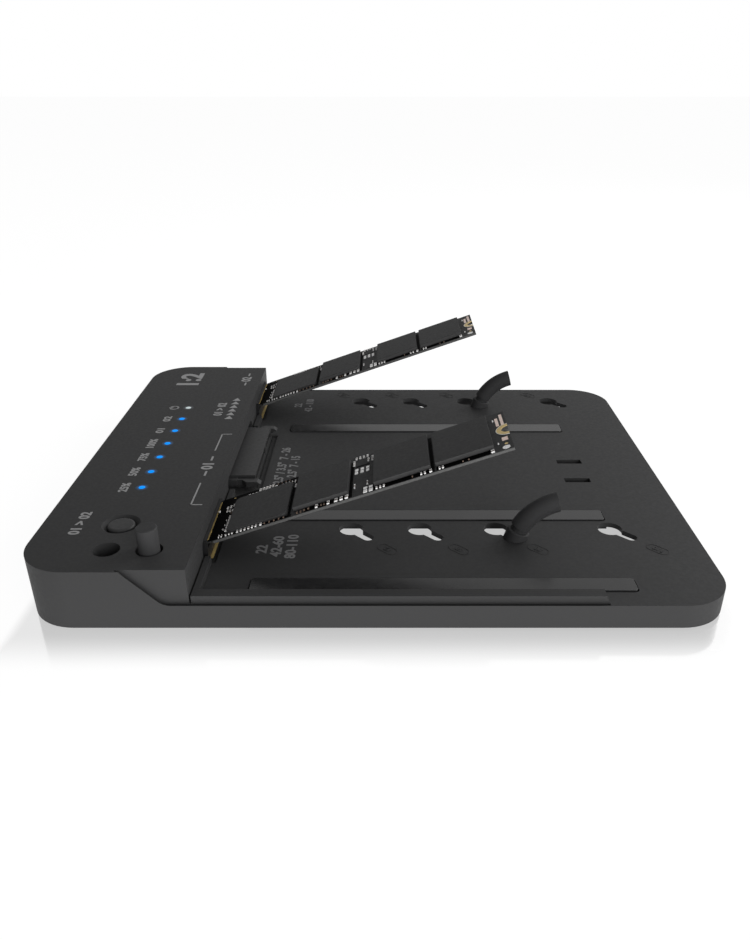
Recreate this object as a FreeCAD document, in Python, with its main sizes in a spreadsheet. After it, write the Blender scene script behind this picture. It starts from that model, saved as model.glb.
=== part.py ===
"""Drive duplicator: a flat tray with a raised control head, two card bays and one drive bay.

Plan positions are measured from the left edge (x) and the front edge (y) of the body, and heights
from the surface that the feet stand on.  place() moves them to the part's own frame, whose origin
is the centre of the footprint on that surface: +X towards the tray, +Y towards the back, +Z up.
All sizes are in millimetres and live in the sheet "Sizes".
"""
import FreeCAD
import Part
import Sketcher
import math
import os
import re

SIZES = {
    # whole body
    "body_length": 164.1, "body_width": 140.1, "corner_radius": 12.3,
    "foot_gap": 1.0, "tray_height": 6.1, "head_rise": 8.97, "head_length": 39.2,
    "tray_skin": 1.3, "head_skin": 1.6, "wall": 1.6, "edge_round": 0.3, "overcut": 1.0,
    "fit_gap": 0.3, "slide_gap": 0.1, "seat_gap": 0.15,
    # stepped flank, rim and ledge
    "step_depth": 0.94, "step_start": 24.5, "step_fillet": 4.0, "groove_width": 0.7,
    "groove_depth": 0.8, "rim_width": 2.86, "rim_height": 2.0, "rim_end": 134.5, "rim_bevel": 0.9,
    "ledge_gap": 0.45, "ledge_width": 1.4,
    # card bays
    "card_length": 80.0, "card_width": 22.0, "card_thick": 0.8, "card_tilt_angle": 19.23,
    "card_inset": 37.92, "card_lift": 3.19, "tongue_length": 4.0, "tongue_width": 19.85,
    "key_width": 1.3, "key_place": 5.2, "key_depth": 3.5, "notch_radius": 1.75,
    "front_bay": 30.75, "rear_bay_inset": 17.3,
    "bay_pocket": 25.3, "bay_pocket_height": 5.5, "pocket_radius": 2.2,
    "bay_recess_end": 42.0, "recess_depth": 0.6,
    "socket_width": 22.0, "socket_start": 32.0, "socket_front": 37.3, "jaw_front": 40.0,
    "slot_back": 36.9, "slot_floor": 2.75, "slot_back_height": 4.25, "slot_mouth_height": 5.1,
    "jaw_top": 5.4, "socket_top": 6.2,
    "contact_pitch": 1.0, "contact_width": 0.5, "contact_thick": 0.15, "contact_length": 0.8,
    # keyholes
    "keyhole_radius": 3.2, "slot_radius": 1.5, "keyhole_shift": 4.5,
    "keyhole_first": 79.1, "keyhole_second": 97.1, "keyhole_third": 117.1, "keyhole_fourth": 147.1,
    "front_slot_line": 30.4, "rear_slot_inset": 16.6,
    # retainers
    "collar_radius": 2.95, "collar_height": 2.3, "collar_tilt_angle": 18.0, "collar_sink": 2.0,
    "neck_radius": 1.4, "waist_radius": 2.1, "waist_height": 1.05, "tail_radius": 2.6,
    "tail_bend": 14.5, "tail_turn_angle": 47.0, "tail_end_angle": 15.0,
    "retainer_foot_radius": 2.9, "retainer_foot": 1.2,
    "well_radius": 3.15, "well_depth": 8.5, "well_wall": 1.5, "well_line": 9.65,
    "empty_well": 19.2, "spare_well": 29.15, "spare_radius": 2.475, "spare_rise": 5.95,
    # support strips and small slots
    "strip_start": 51.9, "strip_end": 142.3, "strip_radius": 0.8, "strip_rise": 0.3,
    "strip_sink": 0.8, "strip_seam": 0.3, "rail_margin": 0.6, "rail_thick": 0.9,
    "front_strip": 5.8, "front_strip_width": 5.15, "middle_strip": 39.4, "middle_strip_width": 5.2,
    "rear_strip_inset": 40.4, "rear_strip_width": 5.9,
    "latch_start": 136.3, "latch_length": 7.5, "latch_width": 2.7, "latch_depth": 2.2,
    "latch_front_offset": 14.85, "latch_rear_offset": 2.05, "latch_wall": 1.0,
    "rib_thick": 1.4, "rib_height": 2.6, "front_rib": 54.0, "rear_rib_inset": 44.1, "rib_start": 56.0,
    # drive bay connector
    "bay_offset": 7.1, "connector_length": 35.3, "connector_front": 46.1, "connector_back": 36.9,
    "connector_top": 3.65, "connector_pocket": 46.0, "connector_pocket_height": 4.65,
    "drive_recess_end": 48.0, "drive_recess_reach": 18.55, "drive_recess_width": 38.2,
    "blade_slot": 1.5, "blade_slot_low": 1.3, "power_slot": 20.9,
    "signal_slot": 10.6, "slot_bridge": 2.2, "slot_depth": 5.0, "slot_key": 1.3,
    "horn_width": 2.4, "horn_offset": 0.7, "web_reach": 1.9, "horn_notch": 1.5,
    "horn_notch_start": 42.5, "horn_notch_slant": 1.3, "horn_low": 1.2, "horn_high": 3.0, "horn_root": 38.0,
    "horn_end": 48.0, "horn_bevel": 1.0, "blade_pitch": 1.27, "blade_width": 0.7, "blade_thick": 0.3,
    # controls
    "light_column": 19.1, "light_first": 41.3, "light_pitch": 9.57, "light_radius": 0.85,
    "light_bar": 1.0, "light_bar_drop": 2.4, "emitter_side": 1.6, "emitter_height": 0.7,
    "button_column": 19.2, "button_row": 21.7, "button_radius": 3.35, "dish_radius": 4.65,
    "dish_depth": 1.2, "button_flange": 4.4, "flange_thick": 1.2, "button_crown": 0.7,
    "button_stem": 2.0, "guide_drop": 1.2, "guide_radius": 6.0, "button_travel": 0.9,
    "switch_side": 6.0, "switch_height": 3.6, "plunger_radius": 1.75, "plunger_rise": 1.6,
    # bottom cover, feet and screws
    "cover_thick": 1.6, "cover_end": 52.0, "foot_radius": 5.0, "foot_thick": 1.6,
    "foot_chamfer": 0.4, "left_foot": 15.8, "right_foot": 153.0, "front_foot": 16.0,
    "rear_foot_inset": 14.7, "foot_boss": 6.2, "screw_radius": 1.0, "screw_head": 2.0,
    "screw_head_height": 1.0, "screw_length": 4.2, "boss_radius": 3.0, "drive_cross": 0.4,
    "cover_screw_left": 7.5, "cover_screw_right": 48.2, "cover_screw_front": 26.0,
    "cover_screw_inset": 18.6, "tray_screw_front": 12.3, "tray_screw_inset": 11.1,
    # main board and what it carries
    "board_thick": 1.6, "board_lift": 2.9, "board_left": 12.0, "board_right": 38.4,
    "board_front": 17.3, "board_rear_inset": 5.5, "port_tab_left": 2.6, "port_tab_front": 31.5,
    "port_tab_inset": 24.6, "drive_tab_right": 45.6, "drive_tab_reach": 22.15,
    "board_screw_left": 15.6, "board_screw_right": 34.2,
    "board_screw_front": 48.2, "board_screw_inset": 33.9, "board_screw_near": 32.2,
    "board_far_inset": 13.6,
    "port_offset": 12.95, "port_width": 8.94, "port_height": 3.2, "port_length": 7.4, "port_wall": 0.3,
    "port_inset": 0.5, "port_tongue": 6.7, "port_tongue_thick": 0.7, "port_tongue_length": 5.0,
    "inlet_inset": 37.6, "inlet_width": 9.0, "inlet_height": 8.4, "inlet_length": 13.0,
    "inlet_bore": 2.9, "inlet_depth": 9.0, "inlet_pin": 1.0, "inlet_pin_length": 8.0,
    "inlet_window": 3.6,
    "toggle_row": 47.5, "toggle_width": 13.0, "toggle_height": 5.4, "toggle_depth": 6.5,
    "toggle_slot_height": 2.6, "toggle_slot_depth": 1.8, "toggle_knob": 3.4,
    "toggle_travel": 3.4, "toggle_inset": 0.4,
    "main_chip": 12.0, "main_chip_height": 1.0, "bridge_chip": 7.0, "bridge_chip_height": 0.9,
    "capacitor_radius": 3.0, "capacitor_height": 6.0, "coil_start": 10.6, "coil_side": 6.0,
    "coil_height": 3.4, "regulator_column": 14.4, "regulator_side": 4.0, "regulator_height": 1.2,
    "crystal_length": 5.0, "crystal_width": 3.2, "crystal_height": 1.1,
    # parts on each card
    "controller_start": 7.6, "controller_length": 16.0, "controller_near": 1.3,
    "controller_far": 3.5, "controller_thick": 0.8, "controller_corner": 1.4,
    "controller_gap": 1.6, "middle_gap": 6.5, "package_gap": 1.2, "end_gap": 4.5,
    "memory_near": 2.1, "memory_far": 2.1, "memory_thick": 1.25,
    "finger_start": 0.4, "finger_length": 2.3, "ring_width": 1.2, "pad_thick": 0.1,
    "part_grid": 1.0, "card_part_thick": 0.6,
}

doc = FreeCAD.newDocument("DriveDuplicator")
sheet = doc.addObject("Spreadsheet::Sheet", "Sizes")
for row, (alias, size) in enumerate(SIZES.items(), start=1):
    sheet.set(f"A{row}", alias)
    sheet.set(f"B{row}", str(size))
    sheet.setAlias(f"B{row}", alias)
doc.recompute()

# heights and places that follow from the sizes, as expressions
PLATE = "foot_gap + tray_height"
HEAD = f"{PLATE} + head_rise"
SKIN_BASE = f"{PLATE} - tray_skin"
HEAD_CEILING = f"{HEAD} - head_skin"
COVER_TOP = "foot_gap + cover_thick"
BOARD_BASE = "foot_gap + board_lift"
BOARD_TOP = f"{BOARD_BASE} + board_thick"
ROWS = {"front": "front_slot_line", "rear": "body_width - rear_slot_inset"}
BAYS = {"front": "front_bay", "rear": "body_width - rear_bay_inset"}
FEET = {"front": "front_foot", "rear": "body_width - rear_foot_inset"}
BAY_CENTRE = "body_width / 2 + bay_offset"
BOARD_SCREW_REAR = "body_width - board_screw_inset"
BOARD_SCREW_FAR = "body_width - board_far_inset"
PORT_ROW = "body_width / 2 + port_offset"
INLET_ROW = "body_width - inlet_inset"
TOGGLE_SLOT = "(toggle_knob + toggle_travel + 2 * slide_gap)"
MEMORY_LENGTH = ("(card_length - controller_start - controller_length - controller_gap - middle_gap"
                 " - package_gap - end_gap) / 3")
MEMORY_STARTS = ["controller_start + controller_length + controller_gap"]
MEMORY_STARTS.append(f"{MEMORY_STARTS[0]} + {MEMORY_LENGTH} + middle_gap")
MEMORY_STARTS.append(f"{MEMORY_STARTS[1]} + {MEMORY_LENGTH} + package_gap")
MIDDLE_START = f"{MEMORY_STARTS[0]} + {MEMORY_LENGTH}"
UPRIGHT, FACING_BACK, FACING_RIGHT = "upright", "facing_back", "facing_right"
NODES = []


def bind(text):
    """Write a sum of size names as an expression on the sheet."""
    return re.sub(r"[a-z][a-z_]*", lambda word: f"Sizes.{word.group(0)}" if word.group(0) in SIZES
                  else word.group(0), str(text))


def value(text):
    """The present value of a sum of size names."""
    return float(sheet.evalExpression(bind(text)))


def place(piece, at, axis=(0, 0, 1), angle="0"):
    """Put a piece at a plan position, turned about one axis by a bound angle."""
    turn = FreeCAD.Rotation(FreeCAD.Vector(*axis), value(angle))
    piece.Placement = FreeCAD.Placement(FreeCAD.Vector(), turn)
    if angle in SIZES:
        piece.setExpression("Placement.Rotation.Angle", f"{bind(angle)} * 1 deg")
    x, y, z = at
    piece.setExpression("Placement.Base.x", bind(f"({x}) - body_length / 2"))
    piece.setExpression("Placement.Base.y", bind(f"({y}) - body_width / 2"))
    piece.setExpression("Placement.Base.z", bind(z))
    return piece


def node(label, piece):
    """Name a finished piece and list it for export."""
    piece.Label = label
    NODES.append(piece)
    return piece


def box(name, at, size, axis=(0, 0, 1), angle="0"):
    """A block with its lowest corner at a plan position."""
    piece = doc.addObject("Part::Box", name)
    for side, text in zip(("Length", "Width", "Height"), size):
        piece.setExpression(side, bind(text))
    return place(piece, at, axis, angle)


def cylinder(name, at, radius, height, axis=(0, 0, 1), angle="0"):
    """A round bar standing on a plan position."""
    piece = doc.addObject("Part::Cylinder", name)
    piece.setExpression("Radius", bind(radius))
    piece.setExpression("Height", bind(height))
    return place(piece, at, axis, angle)


def cone(name, at, low_radius, high_radius, height):
    """A round taper standing on a plan position."""
    piece = doc.addObject("Part::Cone", name)
    piece.setExpression("Radius1", bind(low_radius))
    piece.setExpression("Radius2", bind(high_radius))
    piece.setExpression("Height", bind(height))
    return place(piece, at)


def fuse(name, pieces):
    """Join pieces into one solid."""
    joined = doc.addObject("Part::MultiFuse", name)
    joined.Shapes = pieces
    joined.Refine = True
    return joined


def cut(name, base, tools):
    """Take one or more tools out of a base."""
    result = doc.addObject("Part::Cut", name)
    result.Base = base
    result.Tool = tools[0] if len(tools) == 1 else fuse(f"{name}_tools", tools)
    result.Refine = True
    return result


def common(name, first, second):
    """Keep what two pieces share."""
    result = doc.addObject("Part::MultiCommon", name)
    result.Shapes = [first, second]
    return result


def group(name, pieces):
    """Hold separate solids in one node."""
    result = doc.addObject("Part::Compound", name)
    result.Links = pieces
    return result


def draw_outline(sketch, corners):
    """Draw a closed outline whose corners, and their fillets, are bound to the sheet.

    Each corner is (x, y) or (x, y, fillet radius), all as sums of size names.
    """
    spots = [FreeCAD.Vector(value(corner[0]), value(corner[1]), 0) for corner in corners]
    count = len(corners)
    ends = []
    for place_in, corner in enumerate(corners):
        here, before, after = spots[place_in], spots[place_in - 1], spots[(place_in + 1) % count]
        if len(corner) == 2:
            ends.append((here, here, None))
            continue
        towards, away = (before - here).normalize(), (after - here).normalize()
        half = towards.getAngle(away) / 2
        reach = value(corner[2]) / math.tan(half)
        centre = here + (towards + away).normalize() * (value(corner[2]) / math.sin(half))
        ends.append((here + towards * reach, here + away * reach, centre))
    lines = [sketch.addGeometry(Part.LineSegment(ends[i][1], ends[(i + 1) % count][0]), False)
             for i in range(count)]

    def fix(kind, *what):
        index = sketch.addConstraint(Sketcher.Constraint(kind, *what[:-1], value(what[-1])))
        sketch.setExpression(f"Constraints[{index}]", bind(what[-1]))

    for i, corner in enumerate(corners):
        into, out = lines[i - 1], lines[i]
        if len(corner) == 2:
            sketch.addConstraint(Sketcher.Constraint("Coincident", into, 2, out, 1))
            fix("DistanceX", out, 1, corner[0])
            fix("DistanceY", out, 1, corner[1])
            continue
        start, stop, centre = ends[i]
        turn = (start - centre).cross(stop - centre).z
        first, last = (start, stop) if turn > 0 else (stop, start)
        arc = sketch.addGeometry(Part.ArcOfCircle(
            Part.Circle(centre, FreeCAD.Vector(0, 0, 1), value(corner[2])),
            math.atan2(first.y - centre.y, first.x - centre.x),
            math.atan2(last.y - centre.y, last.x - centre.x)), False)
        sketch.addConstraint(Sketcher.Constraint("Tangent", into, 2, arc, 1 if turn > 0 else 2))
        sketch.addConstraint(Sketcher.Constraint("Tangent", arc, 2 if turn > 0 else 1, out, 1))
        tip = sketch.addGeometry(Part.Point(spots[i]), True)
        sketch.addConstraint(Sketcher.Constraint("PointOnObject", tip, 1, into))
        sketch.addConstraint(Sketcher.Constraint("PointOnObject", tip, 1, out))
        fix("Radius", arc, corner[2])
        fix("DistanceX", tip, 1, corner[0])
        fix("DistanceY", tip, 1, corner[1])


def body_plane(body, role):
    """One of a body's own origin planes."""
    return next(plane for plane in body.Origin.OriginFeatures if plane.Role == role)


def pad(name, at, corners, depth, facing=UPRIGHT, axis=None, angle="0"):
    """A body padded from an outline.

    UPRIGHT outlines lie in x, y and rise; FACING_BACK ones lie in x, z and run towards the back;
    FACING_RIGHT ones lie in y, z and run towards the right.
    """
    body = doc.addObject("PartDesign::Body", name)
    sketch = body.newObject("Sketcher::SketchObject", f"{name}_outline")
    role = {UPRIGHT: "XY_Plane", FACING_BACK: "XZ_Plane", FACING_RIGHT: "YZ_Plane"}[facing]
    sketch.AttachmentSupport = [(body_plane(body, role), "")]
    sketch.MapMode = "FlatFace"
    doc.recompute([sketch])
    draw_outline(sketch, corners)
    feature = body.newObject("PartDesign::Pad", f"{name}_pad")
    feature.Profile = sketch
    feature.Reversed = facing == FACING_BACK
    feature.setExpression("Length", bind(depth))
    return place(body, at, axis or (0, 0, 1), angle)


def turned(name, at, corners, axis=(0, 0, 1), angle="0"):
    """A body of revolution about its own upright axis, from (radius, height) corners."""
    body = doc.addObject("PartDesign::Body", name)
    sketch = body.newObject("Sketcher::SketchObject", f"{name}_profile")
    sketch.AttachmentSupport = [(body_plane(body, "XZ_Plane"), "")]
    sketch.MapMode = "FlatFace"
    doc.recompute([sketch])
    draw_outline(sketch, corners)
    feature = body.newObject("PartDesign::Revolution", f"{name}_turning")
    feature.Profile = sketch
    feature.ReferenceAxis = (sketch, ["V_Axis"])
    feature.Angle = 360
    return place(body, at, axis, angle)


def rectangle(length, width, radius=None, start=("0", "0")):
    """Corners of a rectangle, rounded where a radius is given."""
    x, y = start
    spots = [(x, y), (f"{x} + {length}", y), (f"{x} + {length}", f"{y} + {width}"), (x, f"{y} + {width}")]
    return [spot + ((radius,) if radius else ()) for spot in spots]


def rounded_half(length, width, radius):
    """Corners of a rectangle whose two left corners are rounded."""
    return [("0", "0", radius), (length, "0"), (length, width), ("0", width, radius)]


# --------------------------------------------------------------------------- top shell

def keyholes():
    """Cutters for the eight keyholes: a round hole with a slot running off it at 45 degrees."""
    tools = []
    columns = ("keyhole_first", "keyhole_second", "keyhole_third", "keyhole_fourth")
    low, rise = f"{SKIN_BASE} - overcut", "tray_skin + 2 * overcut"
    for row, line in ROWS.items():
        for number, column in enumerate(columns, start=1):
            name = f"keyhole_{row}_{number}"
            round_at = (f"{column} - keyhole_shift", f"{line} + keyhole_shift", low)
            tools.append(cylinder(f"{name}_round", round_at, "keyhole_radius", rise))
            tools.append(cylinder(f"{name}_end", (column, line, low), "slot_radius", rise))
            side = "slot_radius * sqrt(2) / 2"
            corner = (f"{column} - keyhole_shift - {side}", f"{line} + keyhole_shift - {side}", low)
            tools.append(box(f"{name}_slot", corner, ("keyhole_shift * sqrt(2)", "2 * slot_radius", rise),
                             angle="-45"))
    return tools


def strip_places():
    """Name, front edge and width of each support strip."""
    return [("front", "front_strip", "front_strip_width"), ("middle", "middle_strip", "middle_strip_width"),
            ("rear", "body_width - rear_strip_inset", "rear_strip_width")]


def latch_places():
    """Name and front edge of each small blind slot."""
    return [("front", f"{BAY_CENTRE} - latch_front_offset"), ("rear", f"{BAY_CENTRE} - latch_rear_offset")]


def pocket(name, centre, length, height):
    """Cutter for a round-ended window at the foot of the head's wall."""
    corners = [("0", "0", "pocket_radius"), (length, "0", "pocket_radius"),
               (length, height, "pocket_radius"), ("0", height, "pocket_radius")]
    at = ("head_length - wall - overcut", f"{centre} - ({length}) / 2", PLATE)
    return pad(name, at, corners, "wall + overcut + ledge_gap + ledge_width + overcut", FACING_RIGHT)


def ledge_opening(name, centre, length):
    """Cutter that interrupts the ledge in front of a window."""
    return box(name, ("head_length", f"{centre} - ({length}) / 2", PLATE),
               ("ledge_gap + ledge_width + overcut", length, "rim_height + overcut"))


def light_rows():
    """Plan rows of the seven lights, front to back."""
    return [f"light_first + {number} * light_pitch" for number in range(7)]


def shell_blank():
    """Tray, head, rim and ledge as one block, with the stepped flanks cut and the inside hollowed."""
    outline = rectangle("body_length", "body_width", "corner_radius")
    tray = pad("tray_block", ("0", "0", "foot_gap"), outline, "tray_height")
    tall = pad("tall_block", ("0", "0", "foot_gap"), outline, "tray_height + head_rise")
    head = common("head_block", tall, box("head_space", ("0", "0", "foot_gap"),
                                          ("head_length", "body_width", "tray_height + head_rise")))
    rim_corners = [("0", "0"), ("rim_end - head_length", "0"),
                   ("rim_end - head_length - rim_bevel", "rim_height"), ("0", "rim_height")]
    rim = pad("rim", ("head_length", "step_depth", PLATE), rim_corners, "rim_width", FACING_BACK)
    ledge = box("ledge", ("head_length", "step_depth", PLATE),
                ("ledge_gap + ledge_width", "body_width - 2 * step_depth - corner_radius", "rim_height"))
    solid = fuse("shell_solid", [tray, head, rim, ledge])
    inner = rectangle("body_length - 2 * wall", "body_width - 2 * wall", "corner_radius - wall")
    tray_hollow = pad("tray_hollow", ("wall", "wall", "foot_gap - overcut"), inner,
                      "tray_height - tray_skin + overcut")
    head_hollow = pad("head_hollow", ("wall", "wall + step_depth", "foot_gap"),
                      rounded_half("head_length - 2 * wall", "body_width - 2 * wall - 2 * step_depth",
                                   "corner_radius - wall"),
                      "tray_height + head_rise - head_skin")
    return cut("shell_blank", solid, [tray_hollow, head_hollow])


def flank_cutters():
    """The shallow step on both long sides of the head, and the groove along its lower edge."""
    slope = [("step_start", "head_rise + overcut"), ("step_start", "head_rise"),
             ("step_start + head_rise", "0", "step_fillet"), ("rim_end", "0"),
             ("rim_end", "head_rise + overcut")]
    band = [("step_start", "head_rise"), ("step_start + head_rise", "0", "step_fillet"), ("rim_end", "0"),
            ("rim_end", "-groove_depth"),
            ("step_start + head_rise - 0.4 * groove_depth", "-groove_depth", "step_fillet"),
            ("step_start - 1.4 * groove_depth", "head_rise")]
    tools = []
    for side, outer, seam in (("front", "-overcut", "step_depth - groove_width"),
                              ("rear", "body_width - step_depth", "body_width - step_depth")):
        tools.append(pad(f"flank_{side}", ("0", outer, PLATE), slope, "step_depth + overcut", FACING_BACK))
        tools.append(pad(f"groove_{side}", ("0", seam, PLATE), band, "groove_width", FACING_BACK))
    tools.append(box("ledge_seam", ("head_length", "step_depth", PLATE),
                     ("ledge_gap", "body_width - step_depth - corner_radius", "rim_height + overcut")))
    return tools


def build_top_shell():
    """The one-piece upper moulding with every boss, window and recess."""
    rails = [box(f"rail_{name}", ("strip_start - rail_margin", f"{front} - rail_margin",
                                  f"{SKIN_BASE} - rail_thick"),
                 ("strip_end - strip_start + 2 * rail_margin", f"{width} + 2 * rail_margin", "rail_thick"))
             for name, front, width in strip_places()]
    latches = [box(f"latch_boss_{name}", ("latch_start - latch_wall", f"{front} - latch_wall",
                                          f"{PLATE} - latch_depth - latch_wall"),
                   ("latch_length + 2 * latch_wall", "latch_width + 2 * latch_wall",
                    "latch_depth + latch_wall - tray_skin / 2"))
               for name, front in latch_places()]
    ribs = [box(f"rib_{name}", ("rib_start", row, f"{SKIN_BASE} - rib_height"),
                ("body_length - wall - rib_start", "rib_thick", "rib_height"))
            for name, row in (("front", "front_rib"), ("rear", "body_width - rear_rib_inset"))]
    foot_bosses = [cylinder(f"foot_boss_{name}", ("right_foot", row, "foot_gap"), "foot_boss",
                            "tray_height - tray_skin / 2")
                   for name, row in FEET.items()]
    wells = [cylinder(f"well_tube_{name}", (column, "well_line", f"{HEAD} - well_depth - well_wall"),
                      "well_radius + well_wall", "well_depth + well_wall - head_skin / 2")
             for name, column in (("empty", "empty_well"), ("spare", "spare_well"))]
    guide = cylinder("button_guide", ("button_column", "button_row", f"{HEAD_CEILING} - guide_drop"),
                     "guide_radius", "guide_drop + head_skin / 2")
    posts = [cylinder(f"post_{name}", (column, row, BOARD_TOP), "boss_radius",
                      f"{HEAD_CEILING} - ({BOARD_TOP}) + head_skin / 2")
             for name, column, row in board_screw_places()]
    posts += [cylinder(f"cover_post_{name}", (column, row, COVER_TOP), "boss_radius",
                       f"{top} - ({COVER_TOP})")
              for name, column, row, top in cover_screw_places()]
    blank = fuse("shell_bossed", [shell_blank(), guide] + rails + latches + ribs + foot_bosses + wells
                 + posts)

    tools = flank_cutters() + keyholes()
    for name, centre in BAYS.items():
        tools.append(pocket(f"bay_pocket_{name}", centre, "bay_pocket", "bay_pocket_height"))
        tools.append(box(f"bay_recess_{name}", ("head_length", f"{centre} - bay_pocket / 2",
                                                f"{PLATE} - recess_depth"),
                         ("bay_recess_end - head_length", "bay_pocket", "recess_depth + overcut")))
        tools.append(box(f"bay_floor_{name}", ("head_length - wall - overcut",
                                               f"{centre} - bay_pocket / 2", f"{PLATE} - recess_depth"),
                         ("wall + 2 * overcut", "bay_pocket", "recess_depth + pocket_radius")))
        tools.append(ledge_opening(f"bay_ledge_{name}", centre, "bay_pocket"))
    tools.append(pocket("drive_pocket", BAY_CENTRE, "connector_pocket", "connector_pocket_height"))
    tools.append(ledge_opening("drive_ledge", BAY_CENTRE, "connector_pocket"))
    tools.append(box("drive_window", ("head_length - wall - overcut",
                                      f"{BAY_CENTRE} - connector_length / 2 - fit_gap",
                                      f"{SKIN_BASE} - overcut"),
                     ("connector_front - head_length + wall + overcut + fit_gap",
                      "connector_length + 2 * fit_gap", "tray_skin + overcut + pocket_radius")))
    tools.append(box("drive_recess", ("connector_front", f"{BAY_CENTRE} - drive_recess_reach",
                                      f"{PLATE} - recess_depth"),
                     ("drive_recess_end - connector_front", "drive_recess_width",
                      "recess_depth + overcut")))
    for name, front, width in strip_places():
        tools.append(pad(f"strip_seat_{name}", ("strip_start - strip_seam", f"{front} - strip_seam",
                                                f"{PLATE} - strip_sink"),
                         rectangle("strip_end - strip_start + 2 * strip_seam", f"{width} + 2 * strip_seam",
                                   "strip_radius + strip_seam"), "strip_sink + overcut"))
    for name, front in latch_places():
        tools.append(box(f"latch_{name}", ("latch_start", front, f"{PLATE} - latch_depth"),
                         ("latch_length", "latch_width", "latch_depth + overcut")))
    for number, row in enumerate(light_rows(), start=1):
        tools.append(cylinder(f"light_hole_{number}", ("light_column", row, f"{HEAD_CEILING} - overcut"),
                              "light_radius + slide_gap", "head_skin + 2 * overcut"))
    tools.append(cone("button_dish", ("button_column", "button_row", f"{HEAD} - dish_depth"),
                      "button_radius + slide_gap", "dish_radius", "dish_depth"))
    tools.append(cylinder("button_bore", ("button_column", "button_row", f"{HEAD_CEILING} - 2 * guide_drop"),
                          "button_radius + slide_gap", "2 * guide_drop + head_skin"))
    for name, column in (("empty", "empty_well"), ("spare", "spare_well")):
        tools.append(cylinder(f"well_{name}", (column, "well_line", f"{HEAD} - well_depth"),
                              "well_radius", "well_depth + overcut"))
    for name, column, row in board_screw_places():
        tools.append(cylinder(f"post_hole_{name}", (column, row, f"{BOARD_TOP} - overcut"),
                              "screw_radius", "overcut + screw_length"))
    for name, column, row, _ in cover_screw_places():
        tools.append(cylinder(f"cover_post_hole_{name}", (column, row, f"{COVER_TOP} - overcut"),
                              "screw_radius", "overcut + screw_length - cover_thick + screw_head_height"))
    for name, row in FEET.items():
        tools.append(cylinder(f"foot_seat_{name}", ("right_foot", row, "foot_gap - overcut"),
                              "foot_radius + slide_gap", "overcut + foot_thick - foot_gap"))
    tools.append(cylinder("flange_relief", ("keyhole_fourth", ROWS["rear"],
                                            f"{SKIN_BASE} - retainer_foot - fit_gap"),
                          "retainer_foot_radius + fit_gap", "retainer_foot + fit_gap"))
    tools += wall_windows()
    return node("top_shell", cut("shell", blank, tools))


def wall_windows():
    """Openings in the left wall for the data port, the power inlet and the power switch."""
    middle = f"{BOARD_TOP} + port_height / 2"
    port = pad("port_window", ("-overcut", f"{PORT_ROW} - port_width / 2 - fit_gap",
                               f"{middle} - port_height / 2 - fit_gap"),
               rectangle("port_width + 2 * fit_gap", "port_height + 2 * fit_gap",
                         "port_height / 2 + fit_gap - seat_gap"),
               "wall + 2 * overcut", FACING_RIGHT)
    inlet = cylinder("inlet_window_cut", ("-overcut", INLET_ROW, f"{BOARD_TOP} + inlet_height / 2"),
                     "inlet_window", "wall + 2 * overcut", axis=(0, 1, 0), angle="90")
    toggle = pad("toggle_window", ("-overcut", f"toggle_row - {TOGGLE_SLOT} / 2 - fit_gap",
                                   f"{BOARD_TOP} + (toggle_height - toggle_slot_height) / 2 - fit_gap"),
                 rectangle(f"{TOGGLE_SLOT} + 2 * fit_gap", "toggle_slot_height + 2 * fit_gap", "fit_gap"),
                 "wall + 2 * overcut", FACING_RIGHT)
    return [port, inlet, toggle]


def board_screw_places():
    """Name, column and row of each screw that holds the main board to the top shell."""
    return [("near", "board_screw_left", "board_screw_near"), ("far", "board_screw_left", BOARD_SCREW_FAR),
            ("front", "board_screw_right", "board_screw_front"),
            ("rear", "board_screw_right", BOARD_SCREW_REAR)]


def cover_screw_places():
    """Name, column, row and post top of each screw that holds the bottom cover."""
    return [("front", "cover_screw_left", "cover_screw_front", f"{HEAD_CEILING} + head_skin / 2"),
            ("rear", "cover_screw_left", "body_width - cover_screw_inset", f"{HEAD_CEILING} + head_skin / 2"),
            ("tray_front", "cover_screw_right", "tray_screw_front", f"{SKIN_BASE} + tray_skin / 2"),
            ("tray_rear", "cover_screw_right", "body_width - tray_screw_inset",
             f"{SKIN_BASE} + tray_skin / 2")]


# --------------------------------------------------------------------------- cover, feet, screws

def build_bottom_cover():
    """The plate that closes the head from below."""
    plate = pad("cover_plate", ("wall + seat_gap", "wall + seat_gap", "foot_gap"),
                rounded_half("cover_end - wall - seat_gap", "body_width - 2 * wall - 2 * seat_gap",
                             "corner_radius - wall - seat_gap"), "cover_thick")
    tools = [cylinder(f"cover_seat_{name}", ("left_foot", row, "foot_gap - overcut"),
                      "foot_radius + slide_gap", "overcut + foot_thick - foot_gap")
             for name, row in FEET.items()]
    for name, column, row, _ in cover_screw_places():
        tools.append(cylinder(f"cover_hole_{name}", (column, row, "foot_gap - overcut"),
                              "screw_radius + slide_gap", "cover_thick + 2 * overcut"))
        tools.append(cylinder(f"cover_sink_{name}", (column, row, "foot_gap - overcut"),
                              "screw_head + slide_gap", "overcut + screw_head_height"))
    return node("bottom_cover", cut("cover", plate, tools))


def build_feet():
    """Four round rubber feet, seated in the cover and in the tray's bosses."""
    profile = [("0", "0"), ("foot_radius - foot_chamfer", "0"), ("foot_radius", "foot_chamfer"),
               ("foot_radius", "foot_thick"), ("0", "foot_thick")]
    for side, column in (("left", "left_foot"), ("right", "right_foot")):
        for end, row in FEET.items():
            foot = turned(f"foot_{end}_{side}_body", (column, row, "0"), profile)
            node(f"foot_{end}_{side}", foot)


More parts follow.
